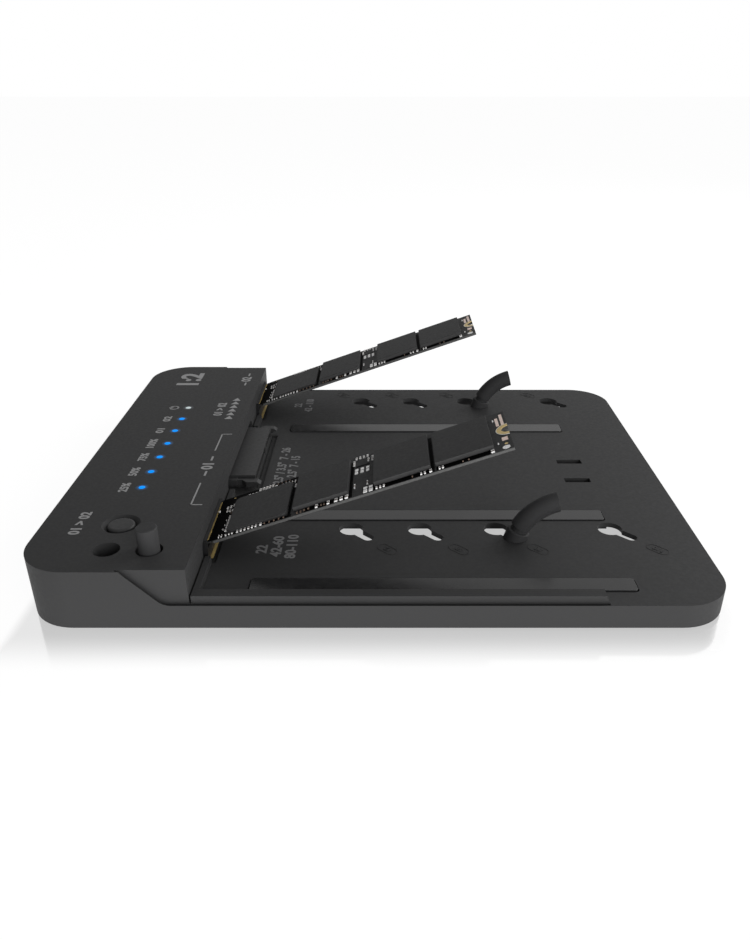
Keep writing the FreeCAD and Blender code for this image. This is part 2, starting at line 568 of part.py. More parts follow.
def screw(name, at):
    """A pan-head screw standing head down, its head's underside at a plan position."""
    profile = [("0", "0"), ("screw_head", "0"), ("screw_head", "screw_head_height"),
               ("screw_radius", "screw_head_height"), ("screw_radius", "screw_length"),
               ("0", "screw_length")]
    blank = turned(f"{name}_blank", at, profile)
    x, y, z = at
    cross = [box(f"{name}_drive_{turn}", (f"{x} - {length} / 2", f"{y} - {width} / 2", f"{z} - overcut"),
                 (length, width, "overcut + screw_head_height / 2"))
             for turn, length, width in (("a", "screw_head", "drive_cross"),
                                         ("b", "drive_cross", "screw_head"))]
    return cut(f"{name}_cut", blank, cross)


def build_screws():
    """Four screws for the cover and four for the main board."""
    cover = [screw(f"cover_screw_{name}", (column, row, "foot_gap"))
             for name, column, row, _ in cover_screw_places()]
    node("cover_screws", group("cover_screw_group", cover))
    board = [screw(f"board_screw_{name}", (column, row, f"{BOARD_BASE} - screw_head_height"))
             for name, column, row in board_screw_places()]
    node("board_screws", group("board_screw_group", board))


# --------------------------------------------------------------------------- main board

def build_main_board():
    """The circuit board, with a tab under the rear ports and one under the drive connector."""
    corners = [("board_left", "board_front"), ("board_right", "board_front"),
               ("board_right", f"{BAY_CENTRE} - drive_tab_reach"),
               ("drive_tab_right", f"{BAY_CENTRE} - drive_tab_reach"),
               ("drive_tab_right", f"{BAY_CENTRE} + drive_tab_reach"),
               ("board_right", f"{BAY_CENTRE} + drive_tab_reach"),
               ("board_right", "body_width - board_rear_inset"),
               ("board_left", "body_width - board_rear_inset"),
               ("board_left", "body_width - port_tab_inset"),
               ("port_tab_left", "body_width - port_tab_inset"), ("port_tab_left", "port_tab_front"),
               ("board_left", "port_tab_front")]
    plate = pad("board_plate", ("0", "0", BOARD_BASE), corners, "board_thick")
    holes = [cylinder(f"board_hole_{name}", (column, row, f"{BOARD_BASE} - overcut"),
                      "screw_radius + slide_gap", "board_thick + 2 * overcut")
             for name, column, row in board_screw_places()]
    node("main_board", cut("board", plate, holes))


def on_board(name, centre, size):
    """A block that stands centred on a place on the main board."""
    (x, y), (length, width, height) = centre, size
    return box(name, (f"{x} - ({length}) / 2", f"{y} - ({width}) / 2", BOARD_TOP), size)


def build_board_parts():
    """Chips, coils, capacitors and the other parts soldered to the main board."""
    middle = "(board_left + board_right) / 2"
    node("controller_chip", on_board("controller_block", (f"{middle} + regulator_side", BAY_CENTRE),
                                     ("main_chip", "main_chip", "main_chip_height")))
    bridges = [on_board(f"bridge_{name}", (middle, f"{row} - bridge_chip / 2"),
                        ("bridge_chip", "bridge_chip", "bridge_chip_height"))
               for name, row in (("front", "board_screw_front"), ("rear", BOARD_SCREW_FAR))]
    node("bridge_chips", group("bridge_group", bridges))
    drum = [cylinder(f"capacitor_{name}", ("port_tab_left + capacitor_radius + fit_gap", row, BOARD_TOP),
                     "capacitor_radius", "capacitor_height")
            for name, row in (("front", "toggle_row + toggle_width"), ("rear", f"{PORT_ROW} - port_width"))]
    node("board_capacitors", group("capacitor_group", drum))
    coils = [pad(f"inductor_{name}", ("coil_start", row, BOARD_TOP),
                 rectangle("coil_side", "coil_side", "edge_round"), "coil_height")
             for name, row in (("front", "toggle_row + toggle_width"), ("rear", f"{PORT_ROW} - port_width"))]
    node("power_inductors", group("inductor_group", coils))
    regulators = [on_board(f"regulator_{name}", ("regulator_column", row),
                           ("regulator_side", "regulator_side", "regulator_height"))
                  for name, row in (("front", PORT_ROW), ("rear", f"{PORT_ROW} + regulator_side + fit_gap"))]
    node("board_regulators", group("regulator_group", regulators))
    crystals = [on_board(f"crystal_{name}", ("board_screw_right", row),
                         ("crystal_width", "crystal_length", "crystal_height"))
                for name, row in (("front", "board_screw_front + crystal_length + boss_radius"),
                                  ("rear", f"{BOARD_SCREW_REAR} - crystal_length - boss_radius"))]
    node("board_crystals", group("crystal_group", crystals))


# --------------------------------------------------------------------------- rear ports

def build_ports():
    """Data port, power inlet and sliding power switch in the left wall."""
    outline = rectangle("port_width", "port_height", "port_height / 2 - seat_gap")
    outer = pad("port_outer", ("port_inset", f"{PORT_ROW} - port_width / 2", BOARD_TOP), outline,
                "port_length", FACING_RIGHT)
    inner = pad("port_inner", ("port_inset - overcut", f"{PORT_ROW} - port_width / 2 + port_wall",
                               f"{BOARD_TOP} + port_wall"),
                rectangle("port_width - 2 * port_wall", "port_height - 2 * port_wall",
                          "port_height / 2 - seat_gap - port_wall"),
                "port_length + overcut - port_wall", FACING_RIGHT)
    node("data_port_shell", cut("port_shell", outer, [inner]))
    node("data_port_tongue", box("port_tongue_block", (
        "port_inset + port_length - port_wall - port_tongue_length", f"{PORT_ROW} - port_tongue / 2",
        f"{BOARD_TOP} + (port_height - port_tongue_thick) / 2"),
        ("port_tongue_length", "port_tongue", "port_tongue_thick")))

    axis_height = f"{BOARD_TOP} + inlet_height / 2"
    housing = box("inlet_housing", ("wall + seat_gap", f"{INLET_ROW} - inlet_width / 2", BOARD_TOP),
                  ("inlet_length", "inlet_width", "inlet_height"))
    bore = cylinder("inlet_bore_cut", ("wall + seat_gap - overcut", INLET_ROW, axis_height),
                    "inlet_bore", "overcut + inlet_depth", axis=(0, 1, 0), angle="90")
    node("power_inlet", cut("inlet", housing, [bore]))
    node("power_inlet_pin", cylinder("inlet_pin_bar", (
        "wall + seat_gap + inlet_depth - inlet_pin_length", INLET_ROW, axis_height),
        "inlet_pin", "inlet_pin_length", axis=(0, 1, 0), angle="90"))

    slot_low = f"{BOARD_TOP} + (toggle_height - toggle_slot_height) / 2"
    base = box("toggle_base", ("port_tab_left", "toggle_row - toggle_width / 2", BOARD_TOP),
               ("toggle_depth", "toggle_width", "toggle_height"))
    slot = box("toggle_slot_cut", ("port_tab_left - overcut", f"toggle_row - {TOGGLE_SLOT} / 2", slot_low),
               ("toggle_slot_depth + overcut", TOGGLE_SLOT, "toggle_slot_height"))
    node("power_switch_body", cut("toggle_body", base, [slot]))
    node("power_switch_knob", box("toggle_knob_block", (
        "toggle_inset", f"toggle_row - {TOGGLE_SLOT} / 2 + slide_gap", f"{slot_low} + slide_gap"),
        ("port_tab_left + toggle_slot_depth - slide_gap - toggle_inset", "toggle_knob",
         "toggle_slot_height - 2 * slide_gap")))


# --------------------------------------------------------------------------- controls on the head

def build_lights():
    """Light pipes under the head's top, with an emitter on the board below each."""
    pipe_base = f"{BOARD_TOP} + emitter_height"
    pipes = [cylinder(f"light_pipe_{number}", ("light_column", row, pipe_base), "light_radius",
                      f"{HEAD} - ({pipe_base})") for number, row in enumerate(light_rows(), start=1)]
    bar = box("light_bar_block", ("light_column - light_radius", "light_first",
                                  f"{HEAD_CEILING} - light_bar_drop"),
              ("2 * light_radius", "5 * light_pitch", "light_bar"))
    node("progress_light_pipes", fuse("progress_pipes", pipes[:-1] + [bar]))
    node("power_light_pipe", pipes[-1])
    emitters = [on_board(f"emitter_{number}", ("light_column", row),
                         ("emitter_side", "emitter_side", "emitter_height"))
                for number, row in enumerate(light_rows(), start=1)]
    node("light_emitters", group("emitter_group", emitters))


def build_button():
    """The push button, the switch below it and the switch's own plunger."""
    at = ("button_column", "button_row")
    flange_base = f"{HEAD_CEILING} - guide_drop - fit_gap - flange_thick"
    plunger_top = f"{BOARD_TOP} + switch_height + plunger_rise"
    profile = [("0", "0"), ("button_stem", "0"), ("button_stem", f"{flange_base} - ({plunger_top})"),
               ("button_flange", f"{flange_base} - ({plunger_top})"),
               ("button_flange", f"{flange_base} + flange_thick - ({plunger_top})"),
               ("button_radius", f"{flange_base} + flange_thick - ({plunger_top})"),
               ("button_radius", f"{HEAD} - ({plunger_top})", "button_crown"),
               ("0", f"{HEAD} - ({plunger_top})")]
    node("clone_button", turned("button_body", at + (plunger_top,), profile))
    housing = on_board("switch_housing", at, ("switch_side", "switch_side", "switch_height"))
    bore = cylinder("switch_bore", at + (f"{BOARD_TOP} + switch_height / 2 - button_travel",),
                    "plunger_radius + slide_gap", "switch_height")
    node("button_switch", cut("switch", housing, [bore]))
    plunger_base = f"{BOARD_TOP} + switch_height / 2 + seat_gap"
    node("switch_plunger", cylinder("plunger_bar", at + (plunger_base,), "plunger_radius",
                                    f"{plunger_top} - ({plunger_base})"))


# --------------------------------------------------------------------------- sockets and connector

def build_sockets():
    """Card sockets standing on the board and reaching out through the head's wall."""
    deep = f"{PLATE} - ({BOARD_TOP})"
    body = [("0", "0"), ("socket_front - socket_start", "0"),
            ("socket_front - socket_start", f"{deep} - recess_depth + slide_gap"),
            ("jaw_front - socket_start", f"{deep} - recess_depth + slide_gap"),
            ("jaw_front - socket_start", f"{deep} + jaw_top"),
            ("socket_front - socket_start", f"{deep} + jaw_top"),
            ("socket_front - socket_start", f"{deep} + socket_top"), ("0", f"{deep} + socket_top")]
    mouth = [("0", "slot_floor"), ("jaw_front - slot_back + overcut", "slot_floor"),
             ("jaw_front - slot_back + overcut",
              "slot_mouth_height + overcut * (slot_mouth_height - slot_back_height)"
              " / (jaw_front - slot_back)"),
             ("0", "slot_back_height")]
    count = round(SIZES["tongue_width"] / SIZES["contact_pitch"])
    for name, centre in BAYS.items():
        block = pad(f"socket_block_{name}", ("socket_start", f"{centre} - socket_width / 2", BOARD_TOP),
                    body, "socket_width", FACING_BACK)
        slot = pad(f"socket_slot_{name}", ("slot_back", f"{centre} - tongue_width / 2 - fit_gap", PLATE),
                   mouth, "tongue_width + 2 * fit_gap", FACING_BACK)
        node(f"card_socket_{name}", cut(f"socket_{name}", block, [slot]))
        first = f"{centre} - tongue_width / 2 + (contact_pitch - contact_width) / 2"
        tails = [box(f"contact_{name}_{number}", ("jaw_front", f"{first} + {number} * contact_pitch",
                                                  f"{PLATE} - recess_depth"),
                     ("contact_length", "contact_width", "contact_thick")) for number in range(count)]
        springs = [box(f"spring_{name}_{number}", ("jaw_front - 2 * contact_length",
                                                   f"{first} + {number} * contact_pitch",
                                                   f"{PLATE} + slot_floor"),
                       ("contact_length", "contact_width", "contact_thick")) for number in range(count)]
        node(f"socket_contacts_{name}", group(f"contacts_{name}", tails + springs))


def build_drive_connector():
    """The drive connector: a slotted housing with a guide horn at each end, and its contact blades."""
    start = f"{BAY_CENTRE} - connector_length / 2"
    housing = pad("connector_housing", ("connector_back", start, BOARD_TOP),
                  [("0", "0"), ("connector_front - connector_back", "0"),
                   ("connector_front - connector_back", f"{PLATE} + connector_top - ({BOARD_TOP})"),
                   ("0", f"{PLATE} + connector_top - ({BOARD_TOP})")], "connector_length", FACING_BACK)
    horns = []
    for name, row in (("front", f"{start} - horn_offset - horn_width"),
                      ("rear", f"{start} + connector_length + horn_offset")):
        tip = "horn_end - horn_root"
        horns.append(pad(f"horn_{name}", ("horn_root", row, f"{PLATE} + horn_low"),
                         [("0", "0"), (f"{tip} - 2 * horn_bevel", "0"), (tip, "horn_bevel"),
                          (f"{tip} - horn_bevel", "horn_high - horn_low"), ("0", "horn_high - horn_low")],
                         "horn_width", FACING_BACK))
    web_front = "head_length + ledge_gap + ledge_width"
    web = box("horn_web", ("horn_root", f"{start} - web_reach", f"{PLATE} + horn_low"),
              (f"{web_front} - horn_root", "connector_length + 2 * web_reach", "horn_high - horn_low"))
    notches = [pad(f"horn_notch_{name}", ("horn_root - overcut", row, f"{PLATE} + horn_low - overcut"),
                   [("0", "0"), (f"horn_notch_start - horn_root + overcut + {near}", "0"),
                    (f"horn_notch_start - horn_root + overcut + {far}", "horn_notch"), ("0", "horn_notch")],
                   "horn_high - horn_low + 2 * overcut")
               for name, row, near, far in
               (("front", f"{start} - horn_offset - horn_width", "horn_notch_slant", "0"),
                ("rear", f"{start} + connector_length + horn_offset + horn_width - horn_notch",
                 "0", "horn_notch_slant"))]
    guides = cut("horns_cut", fuse("horn_pair", horns), notches)
    solid = fuse("connector_solid", [housing, web, guides])
    slot_end = "connector_front - slot_depth"
    margin = "(connector_length - power_slot - signal_slot - slot_bridge) / 2"
    low = f"{PLATE} + blade_slot_low"
    slots, blades = [], []
    for name, row, length, count in (("power", f"{start} + {margin}", "power_slot", 15),
                                     ("signal", f"{start} + {margin} + power_slot + slot_bridge",
                                      "signal_slot", 7)):
        slots.append(box(f"slot_{name}", (slot_end, row, low),
                         ("slot_depth + overcut", length, "blade_slot")))
        slots.append(box(f"slot_key_{name}", (slot_end, f"{row} + {length} - slot_key", f"{low} - slot_key"),
                         ("slot_depth + overcut", "slot_key", "slot_key + overcut / 2")))
        first = f"{row} + ({length}) / 2 - {(count - 1) / 2} * blade_pitch - blade_width / 2"
        blades += [box(f"blade_{name}_{number}", (slot_end, f"{first} + {number} * blade_pitch",
                                                  f"{low} + blade_slot - blade_thick"),
                       ("slot_depth - overcut / 2", "blade_width", "blade_thick")) for number in range(count)]
    node("drive_connector", cut("connector", solid, slots))
    node("drive_contacts", group("blade_group", blades))


# --------------------------------------------------------------------------- tray pieces

def build_strips():
    """Three support strips let into the tray."""
    for name, front, width in strip_places():
        strip = pad(f"strip_{name}", ("strip_start", front, f"{PLATE} - strip_sink"),
                    rectangle("strip_end - strip_start", width, "strip_radius"), "strip_sink + strip_rise")
        node(f"support_strip_{name}", strip)


def retainer_tail(name, column, line):
    """The curved tail of a retainer: a round bar swept along an arc in an upright plane."""
    body = doc.addObject("PartDesign::Body", name)
    sketch = body.newObject("Sketcher::SketchObject", f"{name}_section")
    sketch.AttachmentSupport = [(body_plane(body, "XY_Plane"), "")]
    sketch.MapMode = "FlatFace"
    doc.recompute([sketch])
    ring = sketch.addGeometry(Part.Circle(FreeCAD.Vector(value("tail_bend"), 0, 0),
                                          FreeCAD.Vector(0, 0, 1), value("tail_radius")), False)
    sketch.addConstraint(Sketcher.Constraint("PointOnObject", ring, 3, -1))
    for kind, what, size in (("Radius", (ring,), "tail_radius"), ("DistanceX", (ring, 3), "tail_bend")):
        index = sketch.addConstraint(Sketcher.Constraint(kind, *what, value(size)))
        sketch.setExpression(f"Constraints[{index}]", bind(size))
    sweep = body.newObject("PartDesign::Revolution", f"{name}_bend")
    sweep.Profile = sketch
    sweep.ReferenceAxis = (sketch, ["V_Axis"])
    sweep.Reversed = True
    sweep.setExpression("Angle", f"{bind('tail_turn_angle')} * 1 deg")
    rise = "tail_turn_angle + tail_end_angle"
    root = "(collar_height + waist_height)"
    at = (f"{column} + {root} * sin(collar_tilt_angle * 1 deg) + tail_bend * sin(({rise}) * 1 deg)", line,
          f"{PLATE} + slide_gap + {root} * cos(collar_tilt_angle * 1 deg)"
          f" - tail_bend * cos(({rise}) * 1 deg)")
    place(body, at, axis=(0, -1, 0), angle="90 + tail_end_angle")
    body.setExpression("Placement.Rotation.Angle", f"(90 + {bind('tail_end_angle')}) * 1 deg")
    return body


def build_retainers():
    """Rubber card retainers in the third keyholes, and a spare parked in the head."""
    under = f"{SKIN_BASE} - slide_gap - retainer_foot"
    floor = f"{PLATE} + slide_gap"
    collar_top = "collar_sink + collar_height"
    for name, line in ROWS.items():
        profile = [("0", "0"), ("retainer_foot_radius", "0"), ("retainer_foot_radius", "retainer_foot"),
                   ("neck_radius", "retainer_foot"), ("neck_radius", f"{floor} + slide_gap - ({under})"),
                   ("0", f"{floor} + slide_gap - ({under})")]
        stem = turned(f"retainer_stem_{name}", ("keyhole_third", line, under), profile)
        collar_profile = [("0", "0"), ("collar_radius", "0"), ("collar_radius", collar_top, "edge_round"),
                          ("waist_radius", collar_top), ("waist_radius", f"{collar_top} + waist_height"),
                          ("0", f"{collar_top} + waist_height")]
        leaning = turned(f"retainer_collar_{name}",
                         ("keyhole_third - collar_sink * sin(collar_tilt_angle * 1 deg)", line,
                          f"{floor} - collar_sink * cos(collar_tilt_angle * 1 deg)"), collar_profile,
                         (0, 1, 0), "collar_tilt_angle")
        trim = box(f"collar_trim_{name}", ("keyhole_third - 2 * collar_radius", f"{line} - 2 * collar_radius",
                                           f"{floor} - 2 * collar_radius"),
                   ("4 * collar_radius", "4 * collar_radius", "2 * collar_radius"))
        collar = cut(f"seated_collar_{name}", leaning, [trim])
        tail = retainer_tail(f"retainer_tail_{name}", "keyhole_third", line)
        node(f"card_retainer_{name}", fuse(f"retainer_{name}", [stem, collar, tail]))
    spare_profile = [("0", "0"), ("spare_radius", "0", "edge_round"),
                     ("spare_radius", "well_depth + spare_rise", "edge_round"),
                     ("0", "well_depth + spare_rise")]
    node("spare_retainer", turned("spare_body", ("spare_well", "well_line", f"{HEAD} - well_depth"),
                                  spare_profile))


# --------------------------------------------------------------------------- cards

def on_card(along, across, above, bay):
    """The plan position of a place given along, across and above a tilted card."""
    return (f"card_inset + ({along}) * cos(card_tilt_angle) - ({above}) * sin(card_tilt_angle)",
            f"{BAYS[bay]} - card_width / 2 + {across}",
            f"{PLATE} + card_lift + ({along}) * sin(card_tilt_angle) + ({above}) * cos(card_tilt_angle)")


def card_box(name, bay, at, size):
    """A block square to a tilted card."""
    return box(name, on_card(*at, bay), size, axis=(0, -1, 0), angle="card_tilt_angle")


def card_part_places():
    """Start, near edge, length and width of each small part on a card, counted on the part grid.

    Each row hangs on a named place of the card: (place, steps along from it, step across, length, width).
    A step across below zero is counted from the far edge.
    """
    first, second, third = MEMORY_STARTS
    rows = [("0", (5.6, 7.0), 0.3, 0.7, 0.8),
            ("controller_start", [1.8 + 1.5 * step for step in range(5)], 0.3, 0.7, 0.8),
            (first, (0, 5.0, 7.8, 10.1, 11.6, 12.8), 0.5, 0.7, 1.2),
            (second, (-0.3, 0.7, 1.7, 8.7, 11.1, 12.2, 13.6), 0.4, 0.7, 1.2),
            (third, (0.5, 6.7, 8.0, 13.3), 0.5, 0.7, 1.2),
            ("controller_start", [2.0 + 1.35 * step for step in range(10)], -2.7, 0.7, 1.2),
            (MIDDLE_START, [0.6 + 0.95 * step for step in range(4)], -1.7, 0.7, 1.3),
            (MIDDLE_START, (0.6, 2.1, 3.6), 11.7, 1.1, 3.0),
            (MIDDLE_START, (0.5, 4.0), 17.2, 0.6, 2.4), (MIDDLE_START, (0.6, 4.0), 4.6, 0.6, 2.0),
            (MIDDLE_START, (3.1, 4.4), 0.5, 1.1, 2.6)]
    rows += [("0", (5.4,), 2.9 + 1.9 * step, 0.7, 1.2) for step in range(4)]
    rows.append(("0", (4.0, 4.9), 13.4, 0.6, 1.8))
    return [(f"{start} + {step} * part_grid",
             f"{across} * part_grid" if across > 0 else f"card_width + {across} * part_grid",
             f"{length} * part_grid", f"{width} * part_grid")
            for start, steps, across, length, width in rows for step in steps]


def build_cards():
    """Two removable storage cards, each tilted up out of its socket."""
    shoulder = "(card_width - tongue_width) / 2"
    outline = [("0", shoulder), ("tongue_length", shoulder), ("tongue_length", "0"), ("card_length", "0"),
               ("card_length", "card_width"), ("tongue_length", "card_width"),
               ("tongue_length", f"card_width - {shoulder}"), ("0", f"card_width - {shoulder}")]
    for bay in BAYS:
        tilt = {"axis": (0, -1, 0), "angle": "card_tilt_angle"}
        plate = pad(f"card_plate_{bay}", on_card("0", "0", "0", bay), outline, "card_thick", **tilt)
        notch = cylinder(f"card_notch_{bay}", on_card("card_length", "card_width / 2", "-overcut", bay),
                         "notch_radius", "card_thick + 2 * overcut", **tilt)
        key = card_box(f"card_key_{bay}", bay, ("-overcut", "card_width - key_place - key_width", "-overcut"),
                       ("key_depth + overcut", "key_width", "card_thick + 2 * overcut"))
        node(f"card_board_{bay}", cut(f"card_cut_{bay}", plate, [notch, key]))
        controller = pad(f"card_controller_body_{bay}",
                         on_card("controller_start", "controller_near", "card_thick", bay),
                         rectangle("controller_length", "card_width - controller_near - controller_far",
                                   "controller_corner"),
                         "controller_thick", **tilt)
        node(f"card_controller_{bay}", controller)
        memory = [card_box(f"memory_{bay}_{number}", bay, (start, "memory_near", "card_thick"),
                           (MEMORY_LENGTH, "card_width - memory_near - memory_far", "memory_thick"))
                  for number, start in enumerate(MEMORY_STARTS, start=1)]
        node(f"card_memory_{bay}", group(f"memory_group_{bay}", memory))
        parts = [card_box(f"card_part_{bay}_{number}", bay, (along, across, "card_thick"),
                          (length, width, "card_part_thick"))
                 for number, (along, across, length, width) in enumerate(card_part_places(), start=1)]
        node(f"card_parts_{bay}", group(f"card_part_group_{bay}", parts))
        fingers = card_box(f"card_finger_row_{bay}", bay,
                           ("finger_start", f"{shoulder} + slide_gap", "card_thick"),
                           ("finger_length", "tongue_width - 2 * slide_gap", "pad_thick"))
        ring = cylinder(f"card_ring_disc_{bay}", on_card("card_length", "card_width / 2", "card_thick", bay),
                        "notch_radius + ring_width", "pad_thick", **tilt)
        inside = card_box(f"card_ring_space_{bay}", bay,
                          ("card_length - card_width / 2", "0", "card_thick"),
                          ("card_width / 2", "card_width", "pad_thick"))
        bore = cylinder(f"card_ring_bore_{bay}", on_card("card_length", "card_width / 2", "0", bay),
                        "notch_radius", "card_thick + overcut", **tilt)
        half = cut(f"card_ring_{bay}", common(f"card_ring_half_{bay}", ring, inside), [bore])
        node(f"card_contacts_{bay}", group(f"card_contact_group_{bay}", [fingers, half]))


# --------------------------------------------------------------------------- build, check, export

def export_nodes():
    """Check every object of the document, then write each node to its own file."""
    doc.recompute()
    failed = [item.Label for item in doc.Objects if "Invalid" in item.State or "Error" in item.State]
    if failed:
        raise SystemExit(f"objects that failed: {failed}")
    os.makedirs("parts", exist_ok=True)
    for piece in NODES:
        shape = piece.Shape
        if shape.isNull() or not shape.isValid() or not shape.Solids:
            raise SystemExit(f"{piece.Label} has no valid solid")
        shape.exportStep(os.path.join("parts", f"{piece.Label}.step"))
        print(f"{piece.Label}: {len(shape.Solids)} solid(s), {shape.Volume:.1f} mm3")


build_top_shell()
build_bottom_cover()
build_feet()
build_screws()
build_main_board()
build_board_parts()
build_ports()
build_lights()
build_button()
build_sockets()
build_drive_connector()
build_strips()
build_retainers()
build_cards()
export_nodes()
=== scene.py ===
"""Visual model of a drive duplicator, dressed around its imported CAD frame."""
import logging
import math
from dataclasses import dataclass, replace
from enum import Enum
from typing import Iterable, Sequence

import bmesh
import bpy
from mathutils import Matrix, Vector


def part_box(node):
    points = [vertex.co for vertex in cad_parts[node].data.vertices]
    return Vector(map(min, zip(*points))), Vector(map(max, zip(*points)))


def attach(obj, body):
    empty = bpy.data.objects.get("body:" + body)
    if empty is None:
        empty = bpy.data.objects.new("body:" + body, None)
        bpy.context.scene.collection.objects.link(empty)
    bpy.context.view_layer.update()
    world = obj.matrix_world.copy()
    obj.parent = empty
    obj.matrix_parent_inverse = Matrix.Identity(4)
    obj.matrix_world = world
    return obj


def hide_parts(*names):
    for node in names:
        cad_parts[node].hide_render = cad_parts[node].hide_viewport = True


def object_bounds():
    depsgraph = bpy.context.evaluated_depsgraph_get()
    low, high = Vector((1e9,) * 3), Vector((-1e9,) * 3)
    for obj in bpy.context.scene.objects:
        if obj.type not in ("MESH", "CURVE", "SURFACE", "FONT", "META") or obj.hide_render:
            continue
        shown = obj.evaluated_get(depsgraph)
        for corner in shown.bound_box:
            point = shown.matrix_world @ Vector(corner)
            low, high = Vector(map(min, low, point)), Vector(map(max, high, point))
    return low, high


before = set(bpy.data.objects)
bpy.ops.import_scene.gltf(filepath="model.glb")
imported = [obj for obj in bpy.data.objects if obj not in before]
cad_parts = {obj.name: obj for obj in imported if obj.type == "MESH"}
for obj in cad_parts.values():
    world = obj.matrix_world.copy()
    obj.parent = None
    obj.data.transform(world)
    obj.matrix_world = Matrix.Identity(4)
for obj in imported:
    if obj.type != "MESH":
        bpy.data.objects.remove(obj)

LOG = logging.getLogger("drive_duplicator")
MM = 0.001
STROKE = 0.035
SHARP_DEG = 32.0
BEVEL_ABOVE_DEG = 40.0
FLAT_DEG = 0.6
WELD_MM = 0.002
BUMP_MM = 0.03
TINT_GRAINS = 4.0
ROUGH_GRAINS = 6.0
NOISE_BAND = (0.3, 0.7)
PLAIN = (1.0, 1.0, 1.0)
BRUSHED_ALONG_X = (0.04, 1.0, 1.0)
WEAVE_SCALE = 420.0
WEAVE_LINE = 0.06
CAPITAL_SHARE = 0.7
CAD_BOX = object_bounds()
Point = Sequence[float]
Colour = tuple[float, float, float]
Shape = bmesh.types.BMesh
Thing = bpy.types.Object
Socket = bpy.types.NodeSocket
Node = bpy.types.Node


def set_inputs(node: Node, inputs: dict[str, object]) -> Node:
    """Set inputs of a node by their names."""
    for name, value in inputs.items():
        node.inputs[name].default_value = value
    return node


@dataclass
class Wiring:
    """The nodes of one material or of the surround, and the steps that join them."""

    tree: bpy.types.NodeTree

    def add(self, kind: str, inputs: dict[str, object] | None = None) -> Node:
        """Add a node of a kind, with some of its inputs set."""
        return set_inputs(self.tree.nodes.new(kind), inputs or {})

    def join(self, source: Socket, target: Socket) -> None:
        """Lead one socket into another."""
        self.tree.links.new(source, target)

    def axis(self, coordinates: str, name: str) -> Socket:
        """One axis of a kind of coordinates, such as the object's own."""
        parts = self.add("ShaderNodeSeparateXYZ")
        self.join(self.add("ShaderNodeTexCoord").outputs[coordinates], parts.inputs["Vector"])
        return parts.outputs[name]

    def combine(self, operation: str, *values: Socket | float) -> Socket:
        """Combine numbers or sockets with one arithmetic step.

        Args:
            operation: Name of the arithmetic step.
            values: Numbers or sockets.

        Returns:
            The result.
        """
        step = self.add("ShaderNodeMath")
        step.operation = operation
        for slot, value in zip(step.inputs, values):
            if isinstance(value, Socket):
                self.join(value, slot)
            else:
                slot.default_value = value
        return step.outputs[0]

    def spread(self, value: Socket, band: Point, levels: Point, smooth: bool = False) -> Socket:
        """Lead a value from one level to another.

        Args:
            value: Value that leads.
            band: Where the first level ends and where the last one begins.
            levels: First and last level.
            smooth: Whether the change starts and ends softly.

        Returns:
            The level.
        """
        names = ("From Min", "From Max", "To Min", "To Max")
        step = self.add("ShaderNodeMapRange", dict(zip(names, (*band, *levels))))
        if smooth:
            step.interpolation_type = "SMOOTHSTEP"
        self.join(value, step.inputs["Value"])
        return step.outputs["Result"]

    def noise(self, place: Socket, size_mm: float, detail: float, stretch: Point = PLAIN) -> Socket:
        """Add a noise of a given grain size.

        Args:
            place: Coordinates.
            size_mm: Size of one grain.
            detail: Number of finer layers.
            stretch: Scale along each axis.

        Returns:
            The noise's value.
        """
        mapping = self.add("ShaderNodeMapping", {"Scale": stretch})
        noise = self.add("ShaderNodeTexNoise", {"Scale": 1.0 / (size_mm * MM), "Detail": detail})
        self.join(place, mapping.inputs["Vector"])
        self.join(mapping.outputs["Vector"], noise.inputs["Vector"])
        return noise.outputs["Fac"]


class Grain(Enum):
    """How a surface's fine texture is made."""

    MOULDED = "moulded"
    SMOOTH = "smooth"
    BRUSHED = "brushed"
    BOARD = "board"


